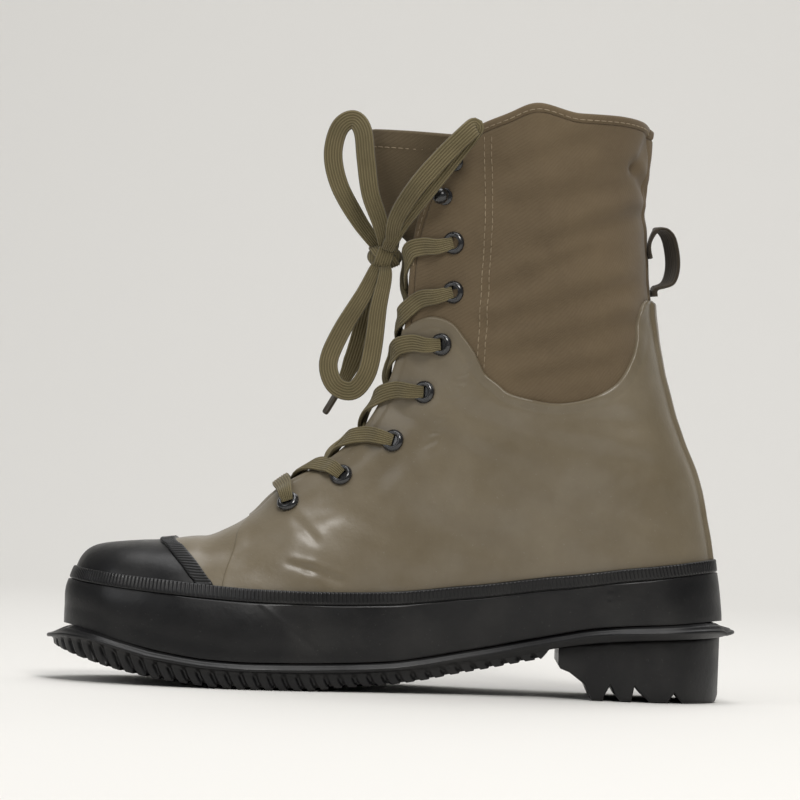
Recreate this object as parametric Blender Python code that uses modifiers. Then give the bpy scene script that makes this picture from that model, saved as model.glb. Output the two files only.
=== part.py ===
"""Rubber-coated lace-up boot, right foot, standing empty on its sole.

Metres, +Z up, toe towards -X, inner side of the foot towards -Y. The origin is
on the floor, under the middle of the outsole.
"""
import math
from collections import namedtuple

import bmesh
import bpy
import numpy as np
from mathutils import Matrix, Vector

# Main sizes
LENGTH = 0.310
SOLE_WIDTH = 0.107
HEEL_SEAT = 0.0367
TOE_BOX = 0.0645
COLLAR_HEIGHT = 0.266
COLLAR_WIDTH = 0.075
WAIST_DEPTH = 0.0115

# Walls and coats
WALL = 0.0022
RUBBER = 0.0012
FOXING = 0.0018
FOXING_HEIGHT = 0.0318
RIB_STRIP = 0.0007
RIB_STRIP_HEIGHT = 0.0058
TOE_STRIP_WIDTH = 0.0085
BACK_STRIP = 0.0008
TONGUE = 0.0018
TONGUE_PLAY = 0.0014
TONGUE_FORWARD = 0.043
TONGUE_ROWS = 16
INSOLE = 0.003
GAP = 0.0003
FOXING_PLAY = 0.0005

# Sole
FLANGE = 0.008
FLANGE_DROOP = 0.55
FLANGE_EDGE = 0.0016
LIP_INSET = 0.0022
TREAD_INSET = 0.0030
TREAD_TIP = 0.0020
TOOTH_PITCH = 0.0066
TOOTH_NOTCH = 0.0022
TOOTH_SIDE_GROOVE = 0.0014
TOOTH_LEAN = 0.51
HEEL_LENGTH = 0.073
HEEL_INSET = 0.0066
LUG_DEPTH = 0.0071

# Fastenings
EYELET_RADIUS = 0.0052
EYELET_HOLE = 0.0026
EYELET_HEIGHT = 0.0013
HOLE_CLEARANCE = 0.0004
EYELET_SEAT = 0.0008
CANVAS_SEAT = 0.0004
HOOK_BALL = 0.0038
HOOK_NECK = 0.0018
LACE_WIDTH = 0.0085
LACE_THICK = 0.0015
LACE_PLAY = 0.0009
LACE_EDGE_PLAY = 0.0042
LACE_TUCK = 0.0062
LACE_HUMP = 0.0026
LACE_REACH = 0.0008
PULL_WIDTH = 0.014
PULL_THICK = 0.0016
PULL_REACH = 0.0098

STATIONS = 17
THROAT_STATION = 5

# Outline of the outsole: place along the length, edges as shares of the width,
# and how far the flange stands out, as a share of its width at the toe
Edge = namedtuple("Edge", "place inner outer flange")
OUTLINE = [
    Edge(0.000, -0.075, -0.075, 1.00),
    Edge(0.0226, -0.243, 0.112, 1.00),
    Edge(0.0645, -0.355, 0.271, 0.85),
    Edge(0.129, -0.430, 0.383, 0.65),
    Edge(0.210, -0.472, 0.458, 0.50),
    Edge(0.290, -0.477, 0.505, 0.50),
    Edge(0.371, -0.430, 0.523, 0.50),
    Edge(0.468, -0.346, 0.505, 0.50),
    Edge(0.5645, -0.290, 0.449, 0.50),
    Edge(0.661, -0.280, 0.402, 0.50),
    Edge(0.758, -0.313, 0.379, 0.50),
    Edge(0.839, -0.341, 0.360, 0.55),
    Edge(0.881, -0.332, 0.346, 0.60),
    Edge(0.919, -0.308, 0.318, 0.65),
    Edge(0.948, -0.262, 0.266, 0.70),
    Edge(0.971, -0.196, 0.196, 0.75),
    Edge(0.989, -0.117, 0.117, 0.80),
    Edge(1.000, 0.000, 0.000, 0.80),
]

# Side view of the sole: flange top, lip and tread as shares of the heel seat
SoleRow = namedtuple("SoleRow", "place top lip tread")
SOLE = [
    SoleRow(0.000, 0.559, 0.507, 0.420),
    SoleRow(0.024, 0.681, 0.540, 0.354),
    SoleRow(0.0645, 0.616, 0.512, 0.259),
    SoleRow(0.113, 0.520, 0.414, 0.163),
    SoleRow(0.177, 0.411, 0.294, 0.079),
    SoleRow(0.242, 0.343, 0.237, 0.025),
    SoleRow(0.300, 0.327, 0.221, 0.000),
    SoleRow(0.375, 0.335, 0.215, 0.000),
    SoleRow(0.435, 0.351, 0.223, 0.052),
    SoleRow(0.500, 0.384, 0.270, 0.101),
    SoleRow(0.548, 0.444, 0.308, 0.166),
    SoleRow(0.597, 0.526, 0.395, 0.262),
    SoleRow(0.645, 0.608, 0.463, 0.349),
    SoleRow(0.694, 0.700, 0.550, 0.447),
    SoleRow(0.742, 0.790, 0.646, 0.526),
    SoleRow(0.790, 0.872, 0.714, 0.600),
    SoleRow(0.839, 0.921, 0.757, 0.650),
    SoleRow(0.903, 0.956, 0.790, 0.680),
    SoleRow(0.979, 1.000, 0.826, 0.700),
    SoleRow(1.000, 0.921, 0.850, 0.700),
]

# Underside of the heel, from the breast to the back: place along the heel,
# height as a share of the lug depth
Lug = namedtuple("Lug", "place height")
HEEL_LUGS = [
    Lug(0.000, 2.15),
    Lug(0.014, 1.92),
    Lug(0.071, 1.70),
    Lug(0.164, 1.00),
    Lug(0.210, 0.00),
    Lug(0.282, 0.00),
    Lug(0.289, 0.35),
    Lug(0.324, 1.00),
    Lug(0.354, 0.35),
    Lug(0.386, 0.00),
    Lug(0.455, 0.00),
    Lug(0.470, 0.95),
    Lug(0.492, 0.68),
    Lug(0.567, 0.00),
    Lug(0.676, 0.00),
    Lug(0.717, 0.60),
    Lug(0.765, 0.00),
    Lug(0.850, 0.00),
    Lug(0.920, 0.00),
    Lug(0.965, 0.00),
    Lug(0.985, 0.10),
    Lug(1.000, 0.50),
]

# Ribs of the upper, one for each row of the outline: where the rib ends at the
# ridge, throat or collar, how domed it is, and how it swells or is drawn in
Rib = namedtuple("Rib", "place toe rise half dome power swell waist")
RIBS = [
    Rib(0.119, 0.938, 0.0000, 0.000, 1.00, 4.0, 0.000, 0.00),
    Rib(0.129, 0.949, 0.0000, 0.000, 1.00, 3.9, 0.000, 0.00),
    Rib(0.145, 0.958, 0.0000, 0.000, 1.00, 3.6, 0.000, 0.00),
    Rib(0.168, 0.969, 0.0000, 0.000, 1.00, 3.0, 0.000, 0.00),
    Rib(0.2226, 1.000, 0.0025, 0.000, 1.00, 2.6, 0.000, 0.00),
    Rib(0.2865, 1.000, 0.0500, 0.000, 1.00, 2.3, 0.000, 0.00),
    Rib(0.332, 1.000, 0.1196, 0.087, 0.95, 2.2, 0.020, 0.00),
    Rib(0.403, 1.000, 0.1890, 0.113, 0.85, 2.1, 0.050, 0.00),
    Rib(0.468, 1.000, 0.3080, 0.133, 0.70, 2.0, 0.100, 0.00),
    Rib(0.500, 1.000, 0.4740, 0.160, 0.50, 2.0, 0.130, 0.00),
    Rib(0.510, 1.000, 0.6970, 0.200, 0.35, 2.0, 0.130, 0.10),
    Rib(0.574, 1.000, 0.9226, 0.320, 0.20, 2.0, 0.100, 0.20),
    Rib(0.6355, 1.000, 0.9720, 0.440, 0.10, 2.0, 0.070, 0.35),
    Rib(0.684, 1.000, 0.9990, 0.493, 0.00, 2.0, 0.050, 0.60),
    Rib(0.745, 1.000, 0.9790, 0.493, 0.00, 2.0, 0.040, 0.80),
    Rib(0.800, 1.000, 0.9777, 0.407, 0.00, 2.0, 0.030, 0.90),
    Rib(0.8387, 1.000, 0.9700, 0.233, 0.00, 2.0, 0.015, 1.00),
    Rib(0.8548, 1.000, 0.9550, 0.000, 0.00, 2.0, 0.000, 1.00),
]

# How the back line is drawn in, up a rib
Bow = namedtuple("Bow", "place depth")
BACK_BOW = [
    Bow(0.00, 0.00),
    Bow(0.12, -0.10),
    Bow(0.25, 0.00),
    Bow(0.42, 0.72),
    Bow(0.57, 1.00),
    Bow(0.75, 0.85),
    Bow(0.88, 0.55),
    Bow(1.00, 0.00),
]

# Height of the foxing over the flange, as a share of its height at the ball
Band = namedtuple("Band", "place height")
FOXING_TOP = [
    Band(0.000, 0.83),
    Band(0.037, 0.83),
    Band(0.103, 0.885),
    Band(0.190, 0.975),
    Band(0.244, 1.000),
    Band(0.330, 1.000),
    Band(0.420, 0.990),
    Band(0.500, 0.985),
    Band(0.565, 0.960),
    Band(0.632, 0.912),
    Band(0.711, 0.862),
    Band(0.790, 0.805),
    Band(0.858, 0.827),
    Band(0.929, 0.865),
    Band(1.000, 0.880),
]

# Edges of the coats in side view: place along the length, height up the boot
Turn = namedtuple("Turn", "place toe rise")
CAP_EDGE = [
    Turn(0.150, 1.30, 0.0),
    Turn(0.1798, 1.00, 0.0),
    Turn(0.1974, 0.93, 0.0),
    Turn(0.2174, 0.836, 0.0),
    Turn(0.2332, 0.749, 0.0),
    Turn(0.2426, 0.688, 0.0),
    Turn(0.2500, 0.500, 0.0),
    Turn(0.2500, -0.10, 0.0),
]
QUARTER_EDGE = [
    Turn(0.2960, 1.00, 0.30),
    Turn(0.2900, 1.00, 0.075),
    Turn(0.2840, 1.00, 0.045),
    Turn(0.2742, 1.00, 0.024),
    Turn(0.2690, 0.949, 0.0),
    Turn(0.2585, 0.800, 0.0),
    Turn(0.2540, 0.688, 0.0),
    Turn(0.2530, 0.500, 0.0),
    Turn(0.2530, -0.10, 0.0),
]
CANVAS_EDGE = [
    Turn(0.440, 1.0, 0.530),
    Turn(0.4900, 1.0, 0.496),
    Turn(0.5036, 1.0, 0.489),
    Turn(0.5180, 1.0, 0.506),
    Turn(0.5439, 1.0, 0.519),
    Turn(0.5713, 1.0, 0.505),
    Turn(0.5900, 1.0, 0.473),
    Turn(0.6068, 1.0, 0.437),
    Turn(0.6200, 1.0, 0.398),
    Turn(0.6397, 1.0, 0.374),
    Turn(0.6577, 1.0, 0.354),
    Turn(0.6929, 1.0, 0.341),
    Turn(0.7277, 1.0, 0.336),
    Turn(0.7623, 1.0, 0.345),
    Turn(0.7890, 1.0, 0.362),
    Turn(0.8132, 1.0, 0.390),
    Turn(0.8297, 1.0, 0.437),
    Turn(0.8361, 1.0, 0.479),
    Turn(0.8406, 1.0, 0.545),
    Turn(0.8470, 1.0, 0.569),
    Turn(0.8610, 1.0, 0.575),
    Turn(0.9200, 1.0, 0.577),
]

# Eyelets and hooks, bottom to top: rib, share of the way up it, and the rib at
# whose end a lace from there passes over the throat edge
Fitting = namedtuple("Fitting", "rib up edge")
EYELETS = [
    Fitting(6.00, 0.750, 6.10),
    Fitting(6.98, 0.786, 6.75),
    Fitting(7.93, 0.765, 7.45),
    Fitting(8.78, 0.781, 8.20),
    Fitting(9.45, 0.781, 8.85),
    Fitting(10.05, 0.793, 9.25),
    Fitting(10.36, 0.852, 9.85),
]
HOOKS = [
    Fitting(10.51, 0.940, 10.3),
    Fitting(10.77, 0.965, 10.6),
]
RUBBER_EYELETS = 5

# Tongue, bottom to top: the rib at whose end it passes the throat edge, the rib
# and height where its wing ends inside, and how far its middle stands forward
Fold = namedtuple("Fold", "edge wing up forward lift")
TONGUE_FOLDS = [
    Fold(5.35, 5.10, 0.80, 0.0010, 0.000),
    Fold(6.00, 6.05, 0.77, 0.0015, 0.000),
    Fold(7.00, 7.20, 0.78, 0.0012, 0.000),
    Fold(8.00, 8.35, 0.81, 0.0006, 0.000),
    Fold(9.00, 9.50, 0.84, 0.0004, 0.000),
    Fold(9.60, 10.15, 0.86, 0.0004, 0.000),
    Fold(9.90, 10.50, 0.87, 0.0036, 0.000),
    Fold(10.15, 10.75, 0.89, 0.0180, 0.000),
    Fold(10.45, 11.15, 0.92, 0.0300, 0.000),
    Fold(10.80, 11.60, 0.96, 0.0400, 0.002),
    Fold(11.00, 11.90, 0.985, 0.0430, 0.005),
]

# Pull loop, from its upper seam round to its lower one: height up the back, and
# how far it stands off, as a share of its reach
Pull = namedtuple("Pull", "rise reach")
PULL_TURNS = [
    Pull(0.668, 0.00),
    Pull(0.700, 0.00),
    Pull(0.734, 0.35),
    Pull(0.715, 0.85),
    Pull(0.655, 1.00),
    Pull(0.612, 0.75),
    Pull(0.600, 0.10),
    Pull(0.583, 0.00),
]

# Laces past the knot, as offsets in metres from its middle
KNOT_AT = (-0.0094, 0.0, 0.1955)
KNOT_SIZE = (0.0095, 0.0075, 0.0065)
LOOP_UP = [
    (-0.0050, -0.0018, 0.0064),
    (-0.0125, -0.0030, 0.0160),
    (-0.0215, -0.0050, 0.0310),
    (-0.0250, -0.0070, 0.0450),
    (-0.0225, -0.0085, 0.0570),
    (-0.0165, -0.0100, 0.0610),
    (-0.0120, -0.0120, 0.0560),
    (-0.0100, -0.0140, 0.0430),
    (-0.0075, -0.0140, 0.0280),
    (-0.0030, -0.0110, 0.0160),
    (-0.0005, -0.0066, 0.0072),
]
LOOP_BACK = [
    (0.0030, -0.0078, 0.0040),
    (0.0045, -0.0220, 0.0160),
    (0.0125, -0.0345, 0.0300),
    (0.0240, -0.0410, 0.0440),
    (0.0350, -0.0430, 0.0555),
    (0.0380, -0.0408, 0.0580),
    (0.0360, -0.0386, 0.0545),
    (0.0270, -0.0368, 0.0420),
    (0.0175, -0.0320, 0.0290),
    (0.0075, -0.0195, 0.0155),
    (0.0020, -0.0100, 0.0050),
]
LOOP_DOWN = [
    (-0.0036, -0.0044, -0.0058),
    (-0.0090, -0.0070, -0.0180),
    (-0.0185, -0.0080, -0.0350),
    (-0.0235, -0.0090, -0.0490),
    (-0.0200, -0.0100, -0.0590),
    (-0.0120, -0.0105, -0.0610),
    (-0.0060, -0.0105, -0.0530),
    (-0.0035, -0.0105, -0.0400),
    (-0.0020, -0.0100, -0.0240),
    (0.0005, -0.0090, -0.0095),
]
LOOSE_END = [
    (-0.0026, 0.0038, -0.0060),
    (-0.0060, 0.0080, -0.0180),
    (-0.0090, 0.0100, -0.0330),
    (-0.0130, 0.0115, -0.0480),
    (-0.0185, 0.0125, -0.0610),
]
AGLET = [
    (-0.0187, 0.0125, -0.0614),
    (-0.0247, 0.0135, -0.0720),
]
AGLET_RADIUS = 0.0016

# Colours, linear, with roughness
OLIVE = (0.155, 0.125, 0.078, 0.38)
CANVAS = (0.140, 0.092, 0.050, 0.85)
BLACK = (0.020, 0.019, 0.021, 0.45)
LACE = (0.155, 0.123, 0.062, 0.80)
METAL = (0.012, 0.012, 0.013, 0.25)
LINING = (0.090, 0.062, 0.040, 0.90)


def steady(rows, at, column, key="place"):
    """Value of a column between rows, by a curve that never overshoots them."""
    places = [getattr(row, key) for row in rows] if key else list(range(len(rows)))
    values = [getattr(row, column) for row in rows]
    at = min(max(at, places[0]), places[-1])
    index = 0
    while index < len(places) - 2 and at > places[index + 1]:
        index += 1
    slopes = [(values[i + 1] - values[i]) / (places[i + 1] - places[i]) for i in range(len(rows) - 1)]

    def tangent(i):
        if i == 0:
            return slopes[0]
        if i == len(slopes):
            return slopes[-1]
        before, after = slopes[i - 1], slopes[i]
        return 0.0 if before * after <= 0 else 2 * before * after / (before + after)

    span = places[index + 1] - places[index]
    s = (at - places[index]) / span
    return (
        values[index] * (2 * s**3 - 3 * s**2 + 1)
        + span * tangent(index) * (s**3 - 2 * s**2 + s)
        + values[index + 1] * (3 * s**2 - 2 * s**3)
        + span * tangent(index + 1) * (s**3 - s**2)
    )


def through(points, steps):
    """Smooth open curve through points, with so many steps between each pair."""
    points = [Vector(p) for p in points]
    ends = [2 * points[0] - points[1]] + points + [2 * points[-1] - points[-2]]
    curve = []
    for i in range(1, len(ends) - 2):
        a, b, c, d = ends[i - 1 : i + 3]
        for k in range(steps):
            s = k / steps
            curve.append(
                0.5 * (2 * b + (c - a) * s + (2 * a - 5 * b + 4 * c - d) * s**2 + (3 * b - a - 3 * c + d) * s**3)
            )
    return curve + [points[-1]]


def x_of(place):
    return (place - 0.5) * LENGTH


def place_of(x):
    return x / LENGTH + 0.5


def height_of(toe, rise):
    return toe * TOE_BOX + rise * (COLLAR_HEIGHT - TOE_BOX)


def sole_level(x, column):
    return HEEL_SEAT * steady(SOLE, place_of(x), column)


MIDDLE = 0.5 * SOLE_WIDTH * (max(row.outer for row in OUTLINE) + min(row.inner for row in OUTLINE))
LOOP = [Vector((x_of(e.place), e.inner * SOLE_WIDTH - MIDDLE)) for e in OUTLINE]
LOOP += [Vector((x_of(e.place), e.outer * SOLE_WIDTH - MIDDLE)) for e in OUTLINE[-2:0:-1]]


def outline(side, t):
    """Point on the edge of the outsole beside rib t, and the way in from it."""
    at = t if side < 0 else (2 * STATIONS - t) % (2 * STATIONS)
    index = int(at) % len(LOOP)
    s = at - int(at)
    a, b, c, d = (LOOP[(index + k) % len(LOOP)] for k in (-1, 0, 1, 2))
    ab, bc, cd = (b - a).length, (c - b).length, (d - c).length
    start = ((b - a) / ab * bc + (c - b) / bc * ab) / (ab + bc)
    stop = ((c - b) / bc * cd + (d - c) / cd * bc) / (bc + cd)
    point = (
        b * (2 * s**3 - 3 * s**2 + 1)
        + start * bc * (s**3 - 2 * s**2 + s)
        + c * (3 * s**2 - 2 * s**3)
        + stop * bc * (s**3 - s**2)
    )
    way = (
        b * (6 * s**2 - 6 * s)
        + start * bc * (3 * s**2 - 4 * s + 1)
        + c * (6 * s - 6 * s**2)
        + stop * bc * (3 * s**2 - 2 * s)
    ).normalized()
    return point, Vector((-way.y, way.x))


def flange_at(t):
    return FLANGE * steady(OUTLINE, t, "flange", key=None)


def inset_edge(side, inset):
    """Edge of a layer that lies so far in from the outsole's edge, as y over x."""
    line = []
    for k in range(12 * STATIONS + 1):
        t = k / 12
        point, inward = outline(side, t)
        line.append(point + inward * inset(t))
    line.sort(key=lambda p: p.x)
    xs = [p.x for p in line]
    ys = [p.y for p in line]
    return lambda x: float(np.interp(x, xs, ys))


UPPER_INSET = FOXING + FOXING_PLAY + RUBBER + GAP


def base_point(side, t):
    point, inward = outline(side, t)
    point = point + inward * (flange_at(t) + UPPER_INSET)
    return Vector((point.x, point.y, sole_level(point.x, "top") + GAP))


def rib_point(side, t, v):
    """Outer face of the upper, a share v of the way up rib t."""
    rib = {name: steady(RIBS, t, name, key=None) for name in Rib._fields}
    base = base_point(side, t)
    top = Vector((x_of(rib["place"]), side * rib["half"] * COLLAR_WIDTH, height_of(rib["toe"], rib["rise"])))
    turn = v * math.pi / 2
    power = 2 / rib["power"]
    across = rib["dome"] * (1 - max(math.cos(turn), 0.0) ** power) + (1 - rib["dome"]) * v
    up = rib["dome"] * math.sin(turn) ** power + (1 - rib["dome"]) * v
    point = Vector((base.x + (top.x - base.x) * across, base.y + (top.y - base.y) * across, base.z))
    point.z += (top.z - base.z) * up
    point.y += side * rib["swell"] * COLLAR_WIDTH * math.sin(math.pi * v)
    point.x -= rib["waist"] * WAIST_DEPTH * steady(BACK_BOW, v, "depth")
    return point


def on_seam(t, v):
    return t <= 0 or t >= STATIONS or (v >= 1 and t <= THROAT_STATION)


def rib_normal(side, t, v):
    """Way out of the upper's outer face."""
    dt = 0.02
    dv = 0.004
    t0, t1 = max(t - dt, 0.0), min(t + dt, float(STATIONS))
    v0, v1 = max(v - dv, 0.0), min(v + dv, 1.0)
    along = rib_point(side, t1, v) - rib_point(side, t0, v)
    upward = rib_point(side, t, v1) - rib_point(side, t, v0)
    return (along.cross(upward) * -side).normalized()


def upper_point(side, t, v, offset):
    """Point so far outside the upper's outer face; negative is inside it."""
    point = rib_point(side, t, v)
    normal = rib_normal(side, t, v)
    if on_seam(t, v):
        normal = normal + rib_normal(-side, t, v)
        normal.y = 0.0
        normal.normalize()
        point.y = rib_point(-1, t, v).y / 2 + rib_point(1, t, v).y / 2
    point = point + normal * offset
    if v <= 0:
        point.z = sole_level(point.x, "top") + GAP
    return point


def rung(side, t, height_over):
    """Share of the way up rib t at which the upper is so high over the flange."""
    low, high = 0.0, 1.0
    for _ in range(30):
        v = (low + high) / 2
        point = rib_point(side, t, v)
        if point.z > sole_level(point.x, "top") + height_over(point.x):
            high = v
        else:
            low = v
    return low


PIECES = bpy.data.collections.new("rubber_boot")
CUTTERS = bpy.data.collections.new("cutters")


def material(name, look):
    mat = bpy.data.materials.get(name) or bpy.data.materials.new(name)
    mat.use_nodes = True
    shader = mat.node_tree.nodes["Principled BSDF"]
    shader.inputs["Base Color"].default_value = (*look[:3], 1.0)
    shader.inputs["Roughness"].default_value = look[3]
    mat.diffuse_color = (*look[:3], 1.0)
    return mat


def piece(name, bm, mat, collection=PIECES):
    """Closed mesh as a named object, with its faces turned outwards."""
    bmesh.ops.recalc_face_normals(bm, faces=bm.faces)
    mesh = bpy.data.meshes.new(name)
    bm.to_mesh(mesh)
    bm.free()
    obj = bpy.data.objects.new(name, mesh)
    collection.objects.link(obj)
    if mat is not None:
        mesh.materials.append(mat)
        mesh.shade_smooth()
        mesh.set_sharp_from_angle(angle=math.radians(35))
    else:
        obj.hide_render = True
        obj.display_type = "WIRE"
    return obj


def cut(obj, cutter, name, operation="DIFFERENCE"):
    modifier = obj.modifiers.new(name, "BOOLEAN")
    modifier.operation = operation
    modifier.solver = "EXACT"
    modifier.object = cutter


def lofted(rings):
    """Closed body through rings of points, each with as many points."""
    bm = bmesh.new()
    loops = [[bm.verts.new(p) for p in ring] for ring in rings]
    count = len(loops[0])
    for a, b in zip(loops, loops[1:]):
        for k in range(count):
            bm.faces.new((a[k], a[(k + 1) % count], b[(k + 1) % count], b[k]))
    bm.faces.new(loops[0])
    bm.faces.new(loops[-1])
    bmesh.ops.triangulate(bm, faces=[f for f in bm.faces if len(f.verts) > 4])
    return bm


def coat(columns, rows, low, high, sides=(-1, 1)):
    """Layer between two offsets of the upper's face; high is one for each row."""
    bm = bmesh.new()
    layers = []
    for level in (0, 1):
        verts = {}
        for side in sides:
            for i, t in enumerate(columns):
                for j, v in enumerate(rows(side, t)):
                    key = (0 if on_seam(t, v) else side, i, j)
                    offset = low if level == 0 else high[j % len(high)]
                    if key not in verts:
                        verts[key] = bm.verts.new(upper_point(side, t, v, offset))
        layers.append(verts)
    count = len(rows(sides[0], columns[0]))
    edges = {}
    for side in sides:
        def corner(i, j):
            v = rows(side, columns[i])[j]
            return (0 if on_seam(columns[i], v) else side, i, j)

        for i in range(len(columns) - 1):
            for j in range(count - 1):
                ring = [corner(i, j), corner(i + 1, j), corner(i + 1, j + 1), corner(i, j + 1)]
                for verts in layers:
                    bm.faces.new([verts[key] for key in (ring[0], ring[1], ring[3])])
                    bm.faces.new([verts[key] for key in ring[1:]])
                for a, b in zip(ring, ring[1:] + ring[:1]):
                    edges.setdefault(frozenset((a, b)), []).append((a, b))
    for uses in edges.values():
        if len(uses) == 1:
            a, b = uses[0]
            bm.faces.new((layers[0][a], layers[0][b], layers[1][b], layers[1][a]))
    return bm


def steps(first, last, count):
    return [first + (last - first) * k / count for k in range(count + 1)]


def all_rows(side, t):
    return UPPER_ROWS


UPPER_ROWS = steps(0.0, 1.0, 8)
BACK_COLUMN = STATIONS - 0.5
UPPER_COLUMNS = steps(0, 2, 4) + steps(2, 5, 5)[1:] + steps(5, 9, 5)[1:]
UPPER_COLUMNS += steps(9, 13, 7)[1:] + steps(13, STATIONS, 6)[1:]
COAT_LOW = GAP
COAT_HIGH = GAP + RUBBER
FOXING_LOW = COAT_HIGH + FOXING_PLAY


def edge_line(edge):
    return through([(x_of(turn.place), 0, height_of(turn.toe, turn.rise)) for turn in edge], 2)


def side_prism(name, edge, backwards, margin=0.0):
    """Cutter through the boot that takes all that lies past an edge in side view."""
    line = edge_line(edge)
    reach = LENGTH if backwards else -LENGTH
    outline_points = [(p.x + margin, p.z) for p in line]
    outline_points += [(line[-1].x + reach, line[-1].z), (line[0].x + reach, line[0].z)]
    rings = [[(x, y, z) for x, z in outline_points] for y in (-SOLE_WIDTH, SOLE_WIDTH)]
    return piece(name, lofted(rings), None, CUTTERS)


def canvas_prism():
    line = edge_line(CANVAS_EDGE)
    points = [(p.x, p.z) for p in line]
    top = 1.5 * COLLAR_HEIGHT
    points += [(line[-1].x, top), (line[0].x, top)]
    rings = [[(x, y, z) for x, z in points] for y in (-SOLE_WIDTH, SOLE_WIDTH)]
    return piece("cut_canvas_edge", lofted(rings), None, CUTTERS)


def fitting_frame(fitting, side, offset):
    """Point over the upper's face at a fitting, and the way out of it there."""
    point = upper_point(side, fitting.rib, fitting.up, offset)
    return point, rib_normal(side, fitting.rib, fitting.up)


def turned(profile, turns):
    """Body turned about its own Z from a profile of radius and height."""
    bm = bmesh.new()
    rings = []
    for radius, height in profile:
        if radius == 0:
            rings.append([bm.verts.new((0, 0, height))])
        else:
            ring = []
            for k in range(turns):
                angle = 2 * math.pi * k / turns
                ring.append(bm.verts.new((radius * math.cos(angle), radius * math.sin(angle), height)))
            rings.append(ring)
    closed = profile[0][0] > 0
    pairs = list(zip(rings, rings[1:] + rings[:1])) if closed else list(zip(rings, rings[1:]))
    for a, b in pairs:
        for k in range(turns):
            n = (k + 1) % turns
            corners = [a[k % len(a)], a[n % len(a)], b[n % len(b)], b[k % len(b)]]
            unique = list(dict.fromkeys(corners))
            bm.faces.new(unique)
    return bm


def seat(bm, point, normal):
    turn = normal.to_track_quat("Z", "Y").to_matrix().to_4x4()
    bmesh.ops.transform(bm, matrix=Matrix.Translation(point) @ turn, verts=bm.verts)
    return bm


def ribbon(path, facing, width, thick):
    """Flat strip along a path, with its face turned the way of facing."""
    rings = []
    for i, point in enumerate(path):
        way = (path[min(i + 1, len(path) - 1)] - path[max(i - 1, 0)]).normalized()
        across = way.cross(facing[i]).normalized()
        out = across.cross(way).normalized()
        a = across * width / 2
        b = out * thick / 2
        rings.append([point - a - b, point + a - b, point + a + b, point - a + b])
    bm = lofted(rings)
    bmesh.ops.triangulate(bm, faces=bm.faces)
    return bm


def make_upper(looks):
    return piece("upper", coat(UPPER_COLUMNS, all_rows, -WALL, [0.0]), looks["canvas"])


def make_coats(looks):
    columns = [t for t in UPPER_COLUMNS if t <= THROAT_STATION]
    cap = piece("toe_cap", coat(columns, all_rows, COAT_LOW, [COAT_HIGH]), looks["black"])
    cut(cap, side_prism("cut_cap_rear", CAP_EDGE, True), "rear edge")

    columns = [t for t in UPPER_COLUMNS if 2 < t <= THROAT_STATION]
    vamp = piece("vamp", coat(columns, all_rows, COAT_LOW, [COAT_HIGH]), looks["olive"])
    cut(vamp, side_prism("cut_vamp_front", CAP_EDGE, False, GAP), "front edge")
    cut(vamp, side_prism("cut_vamp_rear", QUARTER_EDGE, True, -GAP), "rear edge")

    front = side_prism("cut_quarter_front", QUARTER_EDGE, False)
    canvas = canvas_prism()
    columns = [t for t in UPPER_COLUMNS if 4 <= t < STATIONS] + [STATIONS - 0.03]
    for side, name in ((-1, "quarter_inner"), (1, "quarter_outer")):
        quarter = piece(name, coat(columns, all_rows, COAT_LOW, [COAT_HIGH], (side,)), looks["olive"])
        cut(quarter, front, "front edge")
        cut(quarter, canvas, "canvas edge")
        yield quarter


def make_toe_strip(looks):
    columns = [t for t in UPPER_COLUMNS if 2 <= t <= THROAT_STATION]
    low = COAT_HIGH + 2 * GAP

    def rows(side, t):
        return steps(rung(side, t, lambda x: foxing_over(x) + 3 * GAP), 1.0, 7)

    strip = piece("toe_band", coat(columns, rows, low, [low + RIB_STRIP]), looks["black"])
    cut(strip, side_prism("cut_strip_rear", CAP_EDGE, True), "rear edge")
    cut(strip, side_prism("cut_strip_front", CAP_EDGE, False, -TOE_STRIP_WIDTH), "front edge")


def foxing_over(x):
    return FOXING_HEIGHT * steady(FOXING_TOP, place_of(x), "height")


def make_foxing(looks):
    thin = FOXING_LOW + FOXING - RIB_STRIP - GAP

    def heights(side, t, lowers):
        return [rung(side, t, lambda x: foxing_over(x) - lower) for lower in lowers]

    def rows(side, t):
        step, ledge, top = heights(side, t, (RIB_STRIP_HEIGHT + 3 * GAP, RIB_STRIP_HEIGHT + GAP, 0.0))
        return steps(0.0, step, 2) + [ledge, top]

    full = FOXING_LOW + FOXING
    piece("foxing", coat(UPPER_COLUMNS, rows, FOXING_LOW, [full] * 3 + [thin] * 2), looks["black"])

    def strip_rows(side, t):
        return heights(side, t, (RIB_STRIP_HEIGHT, 0.0))

    low = thin + GAP
    piece("foxing_band", coat(UPPER_COLUMNS, strip_rows, low, [low + RIB_STRIP]), looks["black"])


def make_back_strip(looks):
    def rows(side, t):
        low = rung(side, t, lambda x: foxing_over(x) + 3 * GAP)
        high = rung(side, t, lambda x: height_of(1.0, 0.572) - sole_level(x, "top"))
        return [low] + [v for v in UPPER_ROWS if low < v < high] + [high]

    low = COAT_HIGH + 2 * GAP
    columns = steps(BACK_COLUMN, STATIONS, 1)
    piece("back_strip", coat(columns, rows, low, [low + BACK_STRIP]), looks["olive"])


def section_places(first, last, count):
    return [first + (last - first) * (1 - math.cos(math.pi * k / count)) / 2 for k in range(count + 1)]


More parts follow.
